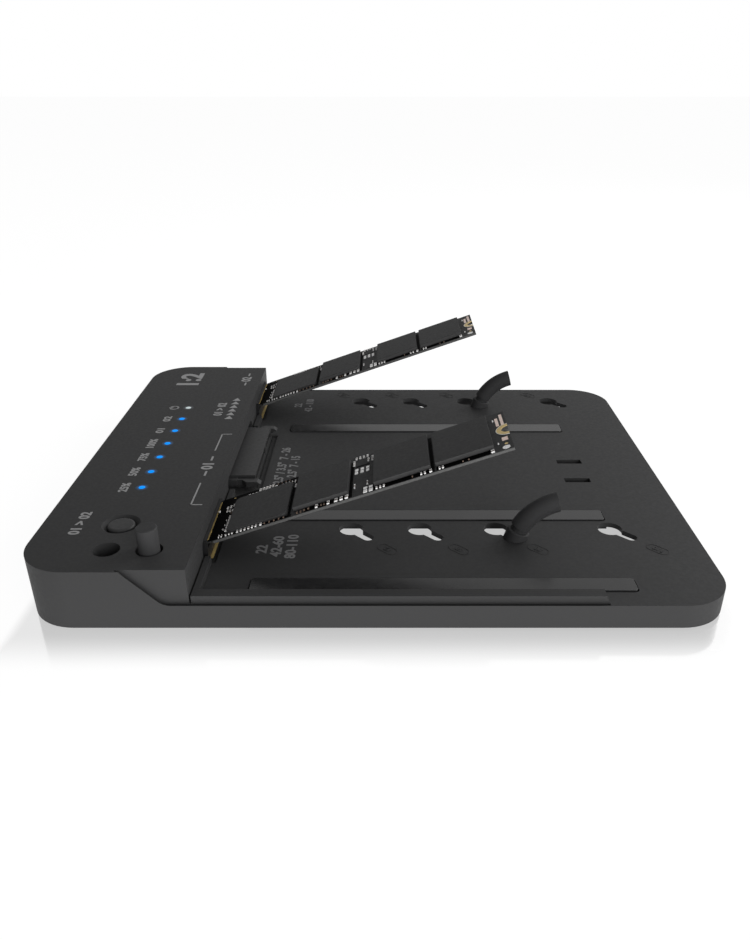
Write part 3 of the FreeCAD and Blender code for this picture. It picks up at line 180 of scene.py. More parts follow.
@dataclass(frozen=True)
class Finish:
    """One surface finish, made as a node material.

    Args:
        name: Name of the material.
        colour: Linear base colour.
        roughness: Middle of the roughness.
        metallic: Share of metal.
        specular: Strength of the clear reflection.
        grain: Kind of fine texture.
        grain_mm: Size of one grain, in millimetres.
        relief: Strength of the fine bump.
        mottle: Share by which the colour varies.
        glow: Light that the surface gives off.
        glow_colour: Colour of that light; the base colour if left out.
        clear: Share of light that passes through.
    """

    name: str
    colour: Colour
    roughness: float = 0.5
    metallic: float = 0.0
    specular: float = 0.5
    grain: Grain = Grain.MOULDED
    grain_mm: float = 0.25
    relief: float = 0.15
    mottle: float = 0.08
    glow: float = 0.0
    glow_colour: Colour | None = None
    clear: float = 0.0

    def make(self) -> bpy.types.Material:
        """Build the material once and hand it out after that.

        Returns:
            The node material.
        """
        made = bpy.data.materials.get(self.name)
        if made is not None:
            return made
        made = bpy.data.materials.new(self.name)
        made.use_nodes = True
        wiring = Wiring(made.node_tree)
        shader = set_inputs(made.node_tree.nodes["Principled BSDF"], {
            "Metallic": self.metallic, "Specular IOR Level": self.specular,
            "Transmission Weight": self.clear})
        if self.glow:
            light = (*(self.glow_colour or self.colour), 1.0)
            set_inputs(shader, {"Emission Color": light, "Emission Strength": self.glow})
        place = wiring.add("ShaderNodeTexCoord").outputs["Object"]
        self._tint(wiring, shader, place)
        self._roughen(wiring, shader, place)
        self._raise(wiring, shader, place)
        made.diffuse_color = (*self.colour, 1.0)
        return made

    @property
    def stretch(self) -> Point:
        """Scale of the grain along each axis."""
        return BRUSHED_ALONG_X if self.grain is Grain.BRUSHED else PLAIN

    def _tint(self, wiring: Wiring, shader: Node, place: Socket) -> None:
        """Vary the base colour a little over the surface."""
        ramp = wiring.add("ShaderNodeValToRGB")
        shares = (1.0 - self.mottle, 1.0 + self.mottle)
        for stop, share, position in zip(ramp.color_ramp.elements, shares, NOISE_BAND):
            stop.color = (*(min(1.0, share * part) for part in self.colour), 1.0)
            stop.position = position
        wiring.join(wiring.noise(place, self.grain_mm * TINT_GRAINS, 3.0), ramp.inputs["Fac"])
        wiring.join(ramp.outputs["Color"], shader.inputs["Base Color"])

    def _roughen(self, wiring: Wiring, shader: Node, place: Socket) -> None:
        """Vary the roughness a little over the surface."""
        value = wiring.noise(place, self.grain_mm * ROUGH_GRAINS, 2.0, self.stretch)
        change = 0.03 if self.grain is Grain.SMOOTH else 0.06
        levels = (max(0.02, self.roughness - change), self.roughness + change)
        wiring.join(wiring.spread(value, NOISE_BAND, levels), shader.inputs["Roughness"])

    def _raise(self, wiring: Wiring, shader: Node, place: Socket) -> None:
        """Raise the fine grain of the surface."""
        if not self.relief:
            return
        if self.grain is Grain.BOARD:
            lines = wiring.add("ShaderNodeTexBrick", {"Scale": WEAVE_SCALE, "Mortar Size": WEAVE_LINE})
            wiring.join(place, lines.inputs["Vector"])
            value = lines.outputs["Fac"]
        else:
            value = wiring.noise(place, self.grain_mm, 2.0, self.stretch)
        bump = wiring.add("ShaderNodeBump", {"Strength": self.relief, "Distance": BUMP_MM * MM})
        wiring.join(value, bump.inputs["Height"])
        wiring.join(bump.outputs["Normal"], shader.inputs["Normal"])


CHARCOAL = Finish("charcoal_moulding", (0.037, 0.037, 0.0375), 0.58, specular=0.11, grain_mm=0.14,
                  relief=0.1, mottle=0.01)
COVER = Finish("charcoal_cover", (0.028, 0.028, 0.0285), 0.6, specular=0.3, grain_mm=0.2, relief=0.4,
               mottle=0.03)
INLAY = Finish("inlay_plastic", (0.022, 0.022, 0.0225), 0.22, specular=0.44, grain=Grain.SMOOTH,
               grain_mm=0.4, relief=0.0, mottle=0.01)
SOFT_RUBBER = Finish("soft_rubber", (0.040, 0.040, 0.041), 0.7, specular=0.15, grain_mm=0.18, relief=0.1,
                     mottle=0.02)
TAIL_RUBBER = replace(SOFT_RUBBER, name="tail_rubber", colour=(0.037, 0.037, 0.038))
FOOT_RUBBER = Finish("foot_rubber", (0.02, 0.02, 0.02), 0.75, specular=0.25, grain_mm=0.3, relief=0.5)
PRINT_GREY = Finish("print_ink", (0.31, 0.31, 0.312), 0.6, specular=0.2, grain_mm=0.12, relief=0.1,
                    mottle=0.04)
PRINT_DIM = replace(PRINT_GREY, name="print_ink_dim", colour=(0.19, 0.19, 0.192))
CAP = Finish("button_cap", (0.032, 0.032, 0.0325), 0.5, specular=0.25, grain_mm=0.16, relief=0.08,
             mottle=0.01)
BLUE_LIGHT = Finish("blue_light", (0.0, 0.05, 0.3), 0.5, specular=0.05, grain=Grain.SMOOTH, relief=0.0,
                    mottle=0.02, glow=1.0, glow_colour=(0.0, 0.29, 0.95))
WHITE_LIGHT = replace(BLUE_LIGHT, name="white_light", colour=(0.2, 0.2, 0.2),
                      glow_colour=(0.42, 0.50, 0.51))
# Painted glow: rings of housing colour round each lens that give off a little light, standing in for the
# lit lens's light falling on the head's top.
BLUE_PAINTED_GLOW = Finish("blue_painted_glow", (0.030, 0.030, 0.031), 0.55, specular=0.2, grain_mm=0.14, relief=0.1,
                    mottle=0.01, glow=1.0, glow_colour=(0.0, 0.055, 0.165))
BLUE_PAINTED_HALO = replace(BLUE_PAINTED_GLOW, name="blue_painted_halo", glow_colour=(0.0, 0.014, 0.040))
WHITE_PAINTED_GLOW = replace(BLUE_PAINTED_GLOW, name="white_painted_glow", glow_colour=(0.055, 0.062, 0.068))
WHITE_PAINTED_HALO = replace(BLUE_PAINTED_GLOW, name="white_painted_halo", glow_colour=(0.014, 0.016, 0.018))
PIPE = Finish("light_pipe", (0.35, 0.45, 0.75), 0.12, grain=Grain.SMOOTH, relief=0.0, clear=0.6)
CARD = Finish("card_mask", (0.036, 0.036, 0.0365), 0.6, specular=0.1, grain_mm=0.2, relief=0.1,
              mottle=0.04)
# Near-black mask: the board's own black at the contact end, and painted shadow everywhere else it is laid.
CARD_BLACK_AND_SHADOW = Finish("card_mask_black_and_shadow", (0.001, 0.001, 0.0011), 0.6, specular=0.02, grain_mm=0.2,
                    relief=0.05)
CARD_EDGE = Finish("card_edge", (0.085, 0.085, 0.084), 0.7, specular=0.2, grain_mm=0.1, relief=0.2,
                   mottle=0.12)
PACKAGE = Finish("memory_package", (0.034, 0.034, 0.0345), 0.6, specular=0.13, grain_mm=0.12, relief=0.08,
                 mottle=0.01)
# Painted light: a lighter copy of the package finish for the near faces, which are turned to the front
# light.
PACKAGE_LIT_SIDE = replace(PACKAGE, name="package_painted_lit_side", colour=(0.060, 0.060, 0.0605))
LID = replace(PACKAGE, name="controller_lid", colour=(0.036, 0.036, 0.0365))
TINNED = Finish("tinned_end", (0.95, 0.94, 0.93), 0.45, metallic=0.2, grain=Grain.SMOOTH, relief=0.05)
CERAMIC = Finish("ceramic_body", (0.13, 0.085, 0.06), 0.5, grain_mm=0.1, relief=0.2, mottle=0.3)
RESISTOR = Finish("resistor_body", (0.02, 0.02, 0.022), 0.4, grain_mm=0.1, relief=0.2)
SILVER_PAD = Finish("silver_pad", (0.98, 0.78, 0.70), 0.5, metallic=0.1, specular=0.2, grain=Grain.SMOOTH,
                    relief=0.05)
PINK_PAD = Finish("copper_pad", (1.0, 0.74, 0.66), 0.5, metallic=0.1, grain=Grain.SMOOTH, relief=0.05)
GOLD = Finish("gold_plate", (0.62, 0.46, 0.18), 0.4, metallic=0.4, grain=Grain.SMOOTH, relief=0.03)
PALE_GOLD = Finish("pale_gold_plate", (1.0, 1.0, 0.94), 0.4, metallic=0.0, grain=Grain.SMOOTH,
                   relief=0.03)
SOCKET = Finish("socket_moulding", (0.014, 0.014, 0.0145), 0.45, specular=0.4, grain_mm=0.15, relief=0.1,
                mottle=0.02)
CONNECTOR = Finish("connector_moulding", (0.030, 0.030, 0.0305), 0.5, specular=0.25, grain_mm=0.18,
                   relief=0.08, mottle=0.01)
BOARD = Finish("main_board_mask", (0.015, 0.075, 0.04), 0.35, grain=Grain.BOARD, relief=0.3)
CHIP = Finish("chip_package", (0.018, 0.018, 0.02), 0.55, grain_mm=0.12, relief=0.3)
FERRITE = Finish("coil_body", (0.07, 0.07, 0.075), 0.6, grain_mm=0.15, relief=0.4)
CAN = Finish("drawn_can", (0.66, 0.66, 0.68), 0.28, metallic=0.9, grain=Grain.BRUSHED, relief=0.08)
STEEL = Finish("port_steel", (0.58, 0.58, 0.60), 0.25, metallic=0.95, grain=Grain.BRUSHED, relief=0.08)
SCREW = Finish("screw_zinc", (0.20, 0.20, 0.21), 0.35, metallic=0.9, grain=Grain.BRUSHED, relief=0.1)
GLOSS_BLACK = Finish("inlet_moulding", (0.012, 0.012, 0.012), 0.22, specular=0.5, grain_mm=0.3, relief=0.05)
LAMP = Finish("lamp_body", (0.75, 0.72, 0.55), 0.35, grain=Grain.SMOOTH, relief=0.05)


def plan(x: float, y: float, z: float = 0.0) -> Vector:
    """A place measured in millimetres from the body's left and front edges and from the desk."""
    low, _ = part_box("top_shell")
    return Vector((low.x + x * MM, low.y + y * MM, z * MM))


def new_object(name: str, data: bpy.types.ID) -> Thing:
    """Create an object and put it in the scene."""
    obj = bpy.data.objects.new(name, data)
    bpy.context.scene.collection.objects.link(obj)
    return obj


def paint(obj: Thing, finish: Finish) -> Thing:
    """Give an object one finish."""
    obj.data.materials.clear()
    obj.data.materials.append(finish.make())
    return obj


def smooth_rounds() -> bpy.types.NodeTree:
    """A modifier's node group that shades round walls smoothly and keeps sharp edges sharp.

    Returns:
        The node group, made once.
    """
    group = bpy.data.node_groups.get("smooth_rounds")
    if group is not None:
        return group
    group = bpy.data.node_groups.new("smooth_rounds", "GeometryNodeTree")
    for side in ("INPUT", "OUTPUT"):
        group.interface.new_socket("Geometry", in_out=side, socket_type="NodeSocketGeometry")
    start, end = group.nodes.new("NodeGroupInput"), group.nodes.new("NodeGroupOutput")
    faces, edges = (group.nodes.new("GeometryNodeSetShadeSmooth") for _ in range(2))
    edges.domain = "EDGE"
    edges.inputs["Shade Smooth"].default_value = False
    sharp = group.nodes.new("FunctionNodeCompare")
    sharp.operation = "GREATER_THAN"
    sharp.inputs["B"].default_value = math.radians(SHARP_DEG)
    angle = group.nodes.new("GeometryNodeInputMeshEdgeAngle")
    for source, target in ((start.outputs[0], faces.inputs["Geometry"]),
                           (faces.outputs["Geometry"], edges.inputs["Geometry"]),
                           (angle.outputs["Unsigned Angle"], sharp.inputs["A"]),
                           (sharp.outputs["Result"], edges.inputs["Selection"]),
                           (edges.outputs["Geometry"], end.inputs[0])):
        group.links.new(source, target)
    return group


def modify(obj: Thing, name: str, kind: str, **settings: object) -> None:
    """Add a modifier with its settings."""
    modifier = obj.modifiers.new(name, kind)
    for setting, value in settings.items():
        setattr(modifier, setting, value)


def dress(node: str, finish: Finish, bevel_mm: float = 0.0) -> Thing:
    """Give a CAD node its finish and soften its edges.

    Args:
        node: Name of the CAD node.
        finish: Finish of the whole node.
        bevel_mm: Width of the softened edge; none at zero.

    Returns:
        The node's object.
    """
    obj = paint(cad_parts[node], finish)
    if bevel_mm:
        modify(obj, "weld", "WELD", merge_threshold=WELD_MM * MM)
        modify(obj, "flat", "DECIMATE", decimate_type="DISSOLVE", angle_limit=math.radians(FLAT_DEG))
        modify(obj, "soft_edges", "BEVEL", width=bevel_mm * MM, segments=2, limit_method="ANGLE",
               angle_limit=math.radians(BEVEL_ABOVE_DEG), use_clamp_overlap=True, harden_normals=False)
        modify(obj, "smooth_rounds", "NODES", node_group=smooth_rounds())
        modify(obj, "even_shading", "WEIGHTED_NORMAL", keep_sharp=True)
    LOG.info("dressed %s with %s", node, finish.name)
    return obj


def add_piece(name: str, shape: Shape, body: str, finish: Finish,
              smooth_deg: float = 30.0) -> Thing:
    """Turn a shape into a piece that rides on a body.

    Args:
        name: Name of the piece.
        shape: The mesh under construction; it is freed.
        body: CAD body that carries the piece.
        finish: Finish of the piece.
        smooth_deg: Edges sharper than this stay hard.

    Returns:
        The new object.
    """
    mesh = bpy.data.meshes.new(name)
    bmesh.ops.recalc_face_normals(shape, faces=shape.faces)
    for edge in shape.edges:
        edge.smooth = len(edge.link_faces) == 2 and edge.calc_face_angle(0.0) < math.radians(smooth_deg)
    for face in shape.faces:
        face.smooth = True
    shape.to_mesh(mesh)
    shape.free()
    obj = paint(new_object(name, mesh), finish)
    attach(obj, body)
    LOG.info("built %s on %s", name, body)
    return obj


def extrude_outline(shape: Shape, outline: Iterable[Point], height: float,
                    place: Matrix, bevel: float = 0.0) -> None:
    """Add a prism to a shape.

    Args:
        shape: The mesh under construction.
        outline: Corners in x, y, in metres.
        height: Height along z, in metres.
        place: Where the prism goes.
        bevel: Width of the softened upper edge, in metres.
    """
    corners = [shape.verts.new((x, y, 0.0)) for x, y in outline]
    base = shape.faces.new(corners)
    grown = bmesh.ops.extrude_face_region(shape, geom=[base])
    top = [item for item in grown["geom"] if isinstance(item, bmesh.types.BMVert)]
    bmesh.ops.translate(shape, verts=top, vec=(0.0, 0.0, height))
    made = corners + top
    if bevel:
        edges = [edge for edge in {e for v in top for e in v.link_edges}
                 if all(v in top for v in edge.verts)]
        cut = bmesh.ops.bevel(shape, geom=edges, offset=bevel, segments=2, profile=0.5, affect="EDGES")
        made = list({v for v in corners if v.is_valid} | {v for v in top if v.is_valid}
                    | {v for f in cut["faces"] for v in f.verts})
    bmesh.ops.transform(shape, matrix=place, verts=made)


def add_block(shape: Shape, size: Point, place: Matrix, bevel: float = 0.0) -> None:
    """Add a block that stands centred on its place."""
    x, y, z = size[0] / 2, size[1] / 2, size[2]
    extrude_outline(shape, [(-x, -y), (x, -y), (x, y), (-x, y)], z, place, bevel)


def rounded_outline(length: float, width: float, radius: float, steps: int = 8) -> list[Point]:
    """Corners of a centred rectangle with round corners."""
    reach = min(radius, length / 2, width / 2)
    points = []
    for turn, (sx, sy) in enumerate(((1, 1), (-1, 1), (-1, -1), (1, -1))):
        for step in range(steps + 1):
            angle = math.radians(90.0 * (turn + step / steps))
            points.append((sx * (length / 2 - reach) + reach * math.cos(angle),
                           sy * (width / 2 - reach) + reach * math.sin(angle)))
    return points


def round_outline(radius: float) -> list[Point]:
    """Corners of a centred circle."""
    return rounded_outline(2 * radius, 2 * radius, radius)


def ring_band(shape: Shape, outer: list[Point], inner: list[Point], height: float,
              place: Matrix) -> None:
    """Add a raised band between two outlines that have as many corners.

    Args:
        shape: The mesh under construction.
        outer: Outer corners.
        inner: Inner corners.
        height: Height of the band.
        place: Where the band goes.
    """
    levels = [[shape.verts.new((x, y, z)) for x, y in line]
              for line, z in ((outer, 0.0), (outer, height), (inner, height), (inner, 0.0))]
    count = len(outer)
    for low, high in zip(levels, levels[1:] + levels[:1]):
        for i in range(count):
            j = (i + 1) % count
            shape.faces.new((low[i], low[j], high[j], high[i]))
    bmesh.ops.transform(shape, matrix=place, verts=[v for level in levels for v in level])


def turned_shape(profile: Sequence[Point], place: Matrix, steps: int = 40) -> Shape:
    """A shape turned about its own z axis.

    Args:
        profile: Radius and height of each corner, in metres.
        place: Where it goes.
        steps: Number of sides.

    Returns:
        The mesh under construction.
    """
    shape = bmesh.new()
    rows = []
    for radius, height in profile:
        if radius < 1e-7:
            rows.append([shape.verts.new((0.0, 0.0, height))])
            continue
        rows.append([shape.verts.new((radius * math.cos(math.tau * i / steps),
                                      radius * math.sin(math.tau * i / steps), height))
                     for i in range(steps)])
    for low, high in zip(rows, rows[1:]):
        for i in range(steps):
            j = (i + 1) % steps
            ring = [low[i % len(low)], low[j % len(low)], high[j % len(high)], high[i % len(high)]]
            unique = list(dict.fromkeys(ring))
            if len(unique) > 2:
                shape.faces.new(unique)
    bmesh.ops.transform(shape, matrix=place, verts=shape.verts)
    return shape


def lettering(text: str, height: float, thickness: float, place: Matrix,
              width_scale: float = 1.0, weight: float = 0.02) -> Shape:
    """Solid letters or digits whose capitals have a given height.

    Args:
        text: What is written.
        height: Height of a capital, in metres.
        thickness: How far the letters stand up, in metres.
        place: Where the middle of the text goes.
        width_scale: Stretch along the line.
        weight: How much the strokes are thickened, as a share of the type size.

    Returns:
        The mesh under construction.
    """
    curve = bpy.data.curves.new("letters", "FONT")
    curve.offset = weight
    curve.body = text
    curve.align_x = curve.align_y = "CENTER"
    curve.size = 1.0
    curve.extrude = 0.5
    curve.resolution_u = 4
    holder = new_object("letters", curve)
    bpy.context.view_layer.update()
    mesh = holder.to_mesh()
    shape = bmesh.new()
    shape.from_mesh(mesh)
    holder.to_mesh_clear()
    bpy.data.objects.remove(holder)
    bpy.data.curves.remove(curve)
    xs = [v.co.x for v in shape.verts]
    ys = [v.co.y for v in shape.verts]
    middle = Vector(((min(xs) + max(xs)) / 2, (min(ys) + max(ys)) / 2, -0.5))
    scale = height / CAPITAL_SHARE
    bmesh.ops.remove_doubles(shape, verts=shape.verts, dist=1e-5)
    bmesh.ops.translate(shape, verts=shape.verts, vec=-middle)
    bmesh.ops.scale(shape, verts=shape.verts, vec=(scale * width_scale, scale, thickness))
    bmesh.ops.transform(shape, matrix=place, verts=shape.verts)
    return shape


def lay_flat(x: float, y: float, z: float, turn_deg: float = 0.0) -> Matrix:
    """A place on a level surface, turned about the vertical; x, y and z in millimetres."""
    return Matrix.Translation(plan(x, y, z)) @ Matrix.Rotation(math.radians(turn_deg), 4, "Z")


def solids_of(obj: Thing, into: Matrix) -> list[tuple[Vector, Vector]]:
    """The box of each separate solid of a CAD node, in a frame of its own.

    Args:
        obj: The node's object.
        into: Matrix that takes the row frame into that frame.

    Returns:
        Lowest and highest corner of each solid.
    """
    shape = bmesh.new()
    shape.from_mesh(obj.data)
    bmesh.ops.remove_doubles(shape, verts=shape.verts, dist=WELD_MM * MM)
    left, boxes = set(shape.verts), []
    while left:
        start = left.pop()
        group, rim = {start}, [start]
        while rim:
            here = rim.pop()
            for edge in here.link_edges:
                other = edge.other_vert(here)
                if other in left:
                    left.discard(other)
                    group.add(other)
                    rim.append(other)
        points = [into @ v.co for v in group]
        boxes.append((Vector([min(p[i] for p in points) for i in range(3)]),
                      Vector([max(p[i] for p in points) for i in range(3)])))
    shape.free()
    return sorted(boxes, key=lambda pair: (round(pair[0].x, 6), round(pair[0].y, 6)))


@dataclass(frozen=True)
class Mark:
    """A printed sign on a level surface.

    Args:
        name: Name of the piece.
        text: What is written.
        x: Middle of the sign, from the left edge, in millimetres.
        y: Middle of the sign, from the front edge, in millimetres.
        capital: Height of a capital, in millimetres.
        dim: Whether the ink is the darker one.
        width_scale: Stretch along the line.
    """

    name: str
    text: str
    x: float
    y: float
    capital: float
    dim: bool = False
    width_scale: float = 1.0

    def build(self, surface_mm: float, thickness_mm: float, slot: str) -> None:
        """Print the sign on a surface at a height."""
        shape = lettering(self.text, self.capital * MM, thickness_mm * MM,
                          lay_flat(self.x, self.y, surface_mm, 90.0), self.width_scale, STROKE)
        add_piece(self.name, shape, "housing", PRINT_DIM if self.dim else PRINT_GREY)


@dataclass
class Shell:
    """The one-piece upper moulding and the marks on the tray."""

    bevel_mm: float = 0.3
    plate_mm: float = 7.1
    pill_length: float = 6.0
    pill_width: float = 3.1
    pill_line: float = 0.22
    pill_rise: float = 0.08
    digit_height: float = 1.45
    digit_rise: float = 0.128
    print_rise: float = 0.02
    front_row_y: float = 24.5
    rear_row_y: float = 134.2
    front_columns: tuple[float, ...] = (84.1, 102.1, 122.1, 152.2)
    rear_columns: tuple[float, ...] = (68.0, 86.0, 106.1, 136.2)
    lengths: tuple[str, ...] = ("42", "60", "80", "110")
    marks: tuple[Mark, ...] = (
        Mark("mark_card_front_a", "22", 52.4, 24.6, 2.6, True, 1.1),
        Mark("mark_card_front_b", "42-60", 56.1, 26.0, 2.6, True, 1.15),
        Mark("mark_card_front_c", "80-110", 59.8, 26.0, 2.6, True, 1.1),
        Mark("mark_card_rear_a", "22", 52.2, 124.0, 2.5, True),
        Mark("mark_card_rear_b", "42 - 110", 56.1, 124.0, 2.5, True),
        Mark("mark_drive_a", "2.5\" / 3.5\"  7 - 26", 52.0, 74.0, 2.6, True, 1.0),
        Mark("mark_drive_b", "2.5\"  7 - 15", 55.6, 73.0, 2.6, True, 0.9),
    )

    def build(self) -> None:
        """Add the raised size labels and the printed marks."""
        for row, columns, y in (("front", self.front_columns, self.front_row_y),
                                ("rear", self.rear_columns, self.rear_row_y)):
            for text, x in zip(self.lengths, columns):
                self._pill(f"size_label_{row}_{text}", text, x, y)
        for mark in self.marks:
            mark.build(self.plate_mm, self.print_rise, "shell_black")

    def _pill(self, name: str, text: str, x: float, y: float) -> None:
        """Raise one slanted label with its number."""
        shape = bmesh.new()
        place = lay_flat(x, y, self.plate_mm, 135.0)
        line = 2 * self.pill_line
        outer = rounded_outline(self.pill_length * MM, self.pill_width * MM, self.pill_width / 2 * MM)
        inner = rounded_outline((self.pill_length - line) * MM, (self.pill_width - line) * MM,
                                (self.pill_width - line) / 2 * MM)
        ring_band(shape, outer, inner, self.pill_rise * MM, place)
        add_piece(name, shape, "housing", CHARCOAL)
        digits = lettering(text, self.digit_height * MM, self.digit_rise * MM, place, weight=STROKE)
        add_piece(f"{name}_digits", digits, "housing", CHARCOAL)

    def dress(self) -> None:
        """Give the moulding its finish and its soft edges."""
        dress("top_shell", CHARCOAL, self.bevel_mm)


@dataclass
class ControlHead:
    """Lights, push button, wells and printed signs on the raised head."""

    top_mm: float = 16.07
    print_rise: float = 0.02
    lens_radius: float = 0.85
    lens_rise: float = 0.16
    glow_reach: tuple[float, float] = (1.2, 1.7)
    light_column: float = 19.1
    light_first: float = 41.3
    light_pitch: float = 9.57
    label_column: float = 14.5
    light_count: int = 7
    label_capital: float = 2.2
    short_label_scale: float = 1.35
    labels: tuple[str, ...] = ("25%", "50%", "75%", "100%", "01", "02")
    line_width: float = 0.4
    arrow_count: int = 6
    arrow_column: float = 33.8
    arrow_first: float = 89.1
    arrow_pitch: float = 3.2
    arrow_half: float = 1.35
    arrow_length: float = 2.5
    power_radius: float = 1.3
    power_line: float = 0.55
    power_step: float = 0.62
    power_steps: int = 14
    power_turn_deg: float = 280.0
    power_bar: float = 1.3
    power_bar_shift: float = 0.95
    signs: tuple[Mark, ...] = (
        Mark("ratio_sign", "1:2", 14.0, 126.6, 7.2, False, 1.15),
        Mark("bay_number_source", "\u2013 01 \u2013", 33.9, 54.6, 3.0, False, 1.1),
        Mark("bay_number_target", "\u2013 02 \u2013", 33.9, 126.4, 3.0, False, 1.1),
        Mark("copy_sign_button", "01 > 02", 9.1, 22.1, 2.5),
        Mark("copy_sign_arrows", "01 > 02", 29.7, 97.5, 2.6, False, 0.95),
    )

    def build(self) -> None:
        """Add lenses, signs and pictograms."""
        for number in range(self.light_count):
            self._lens(number)
        for number, text in enumerate(self.labels):
            scale = self.short_label_scale if len(text) < 3 else 1.0
            self._print(Mark(f"light_label_{number + 1}", text, self.label_column, self._light_y(number),
                             self.label_capital, False, scale))
        self._power_sign()
        self._arrows()
        self._brackets()
        for sign in self.signs:
            self._print(sign)

    def _print(self, sign: Mark) -> None:
        """Print a sign on the head's top."""
        sign.build(self.top_mm, self.print_rise, "shell_black")

    def _light_y(self, number: int) -> float:
        """Distance of a light from the front edge, in millimetres."""
        return self.light_first + number * self.light_pitch

    def _lens(self, number: int) -> None:
        """Set a domed lens on one light pipe, ringed by two faint rings of painted glow on the head's top.
        """
        radius, rise = self.lens_radius * MM, self.lens_rise * MM
        profile = [(radius, 0.0)]
        profile += [(radius * math.cos(math.radians(a)), rise * math.sin(math.radians(a)))
                    for a in (15, 30, 45, 60, 75)]
        profile.append((0.0, rise))
        place = lay_flat(self.light_column, self._light_y(number), self.top_mm)
        shape = turned_shape(profile, place, 24)
        last = number == self.light_count - 1
        add_piece(f"light_lens_{number + 1}", shape, "housing", WHITE_LIGHT if last else BLUE_LIGHT)
        # The two rings round the lens are painted glow, brighter next to the lens and fainter further out.
        finishes = (WHITE_PAINTED_GLOW, WHITE_PAINTED_HALO) if last else (BLUE_PAINTED_GLOW, BLUE_PAINTED_HALO)
        edges = (self.lens_radius, *self.glow_reach)
        for name, finish, inside, outside in zip(("glow_paint", "halo_paint"), finishes, edges, edges[1:]):
            ring = bmesh.new()
            ring_band(ring, round_outline(outside * MM), round_outline(inside * MM),
                      self.print_rise / 2 * MM, place)
            add_piece(f"light_{name}_{number + 1}", ring, "housing", finish)

    def _band(self, name: str, points: Sequence[Point]) -> None:
        """Print a line along points in the plan, in millimetres."""
        shape = bmesh.new()
        for (x0, y0), (x1, y1) in zip(points, points[1:]):
            length = math.hypot(x1 - x0, y1 - y0)
            turn = math.degrees(math.atan2(y1 - y0, x1 - x0))
            add_block(shape, ((length + self.line_width) * MM, self.line_width * MM, self.print_rise * MM),
                      lay_flat((x0 + x1) / 2, (y0 + y1) / 2, self.top_mm, turn))
        add_piece(name, shape, "housing", PRINT_GREY)

    def _brackets(self) -> None:
        """Print the bracket that joins the source bays to their number."""
        self._band("bracket_front", ((36.8, 31.6), (34.1, 31.6), (34.1, 43.7)))
        self._band("bracket_rear", ((34.1, 65.1), (34.1, 76.9), (36.8, 76.9)))

    def _arrows(self) -> None:
        """Print the row of six arrow heads that point to the target bay."""
        shape = bmesh.new()
        half = self.arrow_half * MM
        outline = [(-half, 0.0), (half, 0.0), (0.0, self.arrow_length * MM)]
        for number in range(self.arrow_count):
            y = self.arrow_first + number * self.arrow_pitch
            extrude_outline(shape, outline, self.print_rise * MM,
                            lay_flat(self.arrow_column, y, self.top_mm))
        add_piece("copy_arrows", shape, "housing", PRINT_GREY)

    def _power_sign(self) -> None:
        """Print a broken ring with an upright bar beside the rearmost light."""
        shape = bmesh.new()
        x, y = self.label_column, self._light_y(self.light_count - 1)
        line, rise = self.power_line * MM, self.print_rise * MM
        for step in range(self.power_steps):
            turn = self.power_turn_deg * (step / (self.power_steps - 1) - 0.5)
            angle = math.radians(turn)
            add_block(shape, (self.power_step * MM, line, rise),
                      lay_flat(x + self.power_radius * math.cos(angle),
                               y + self.power_radius * math.sin(angle), self.top_mm, 90.0 + turn))
        add_block(shape, (self.power_bar * MM, line, rise),
                  lay_flat(x - self.power_bar_shift, y, self.top_mm))
        add_piece("power_sign", shape, "housing", PRINT_GREY)

    def dress(self) -> None:
        """Give the head's CAD nodes their finishes."""
        for node, finish in (("progress_light_pipes", PIPE), ("power_light_pipe", PIPE),
                             ("clone_button", CAP), ("spare_retainer", SOFT_RUBBER),
                             ("button_switch", CHIP), ("switch_plunger", SOCKET),
                             ("light_emitters", LAMP)):
            dress(node, finish)


class PartBody(Enum):
    """What the middle of a small soldered part is made of."""

    CERAMIC = "ceramic"
    DARK = "dark"
    BLANK = "blank"


@dataclass(frozen=True)
class PartRow:
    """A row of equal small parts soldered to a card.

    Args:
        along: Middle of the first part from the contact end, in millimetres.
        across: Middle of the row from the near edge, in millimetres.
        length: Size of a part along the card.
        width: Size of a part across the card.
        count: Number of parts.
        step: Distance from one part to the next along the card.
        step_across: Distance from one part to the next across the card.
        body: What the middle of each part is made of.
        height: How far a part stands up.
    """

    along: float
    across: float
    length: float
    width: float
    count: int = 1
    step: float = 0.0
    step_across: float = 0.0
    body: PartBody = PartBody.CERAMIC
    height: float = 0.34

    def places(self) -> list[tuple[float, float]]:
        """Middle of each part, along and across the card."""
        return [(self.along + number * self.step, self.across + number * self.step_across)
                for number in range(self.count)]


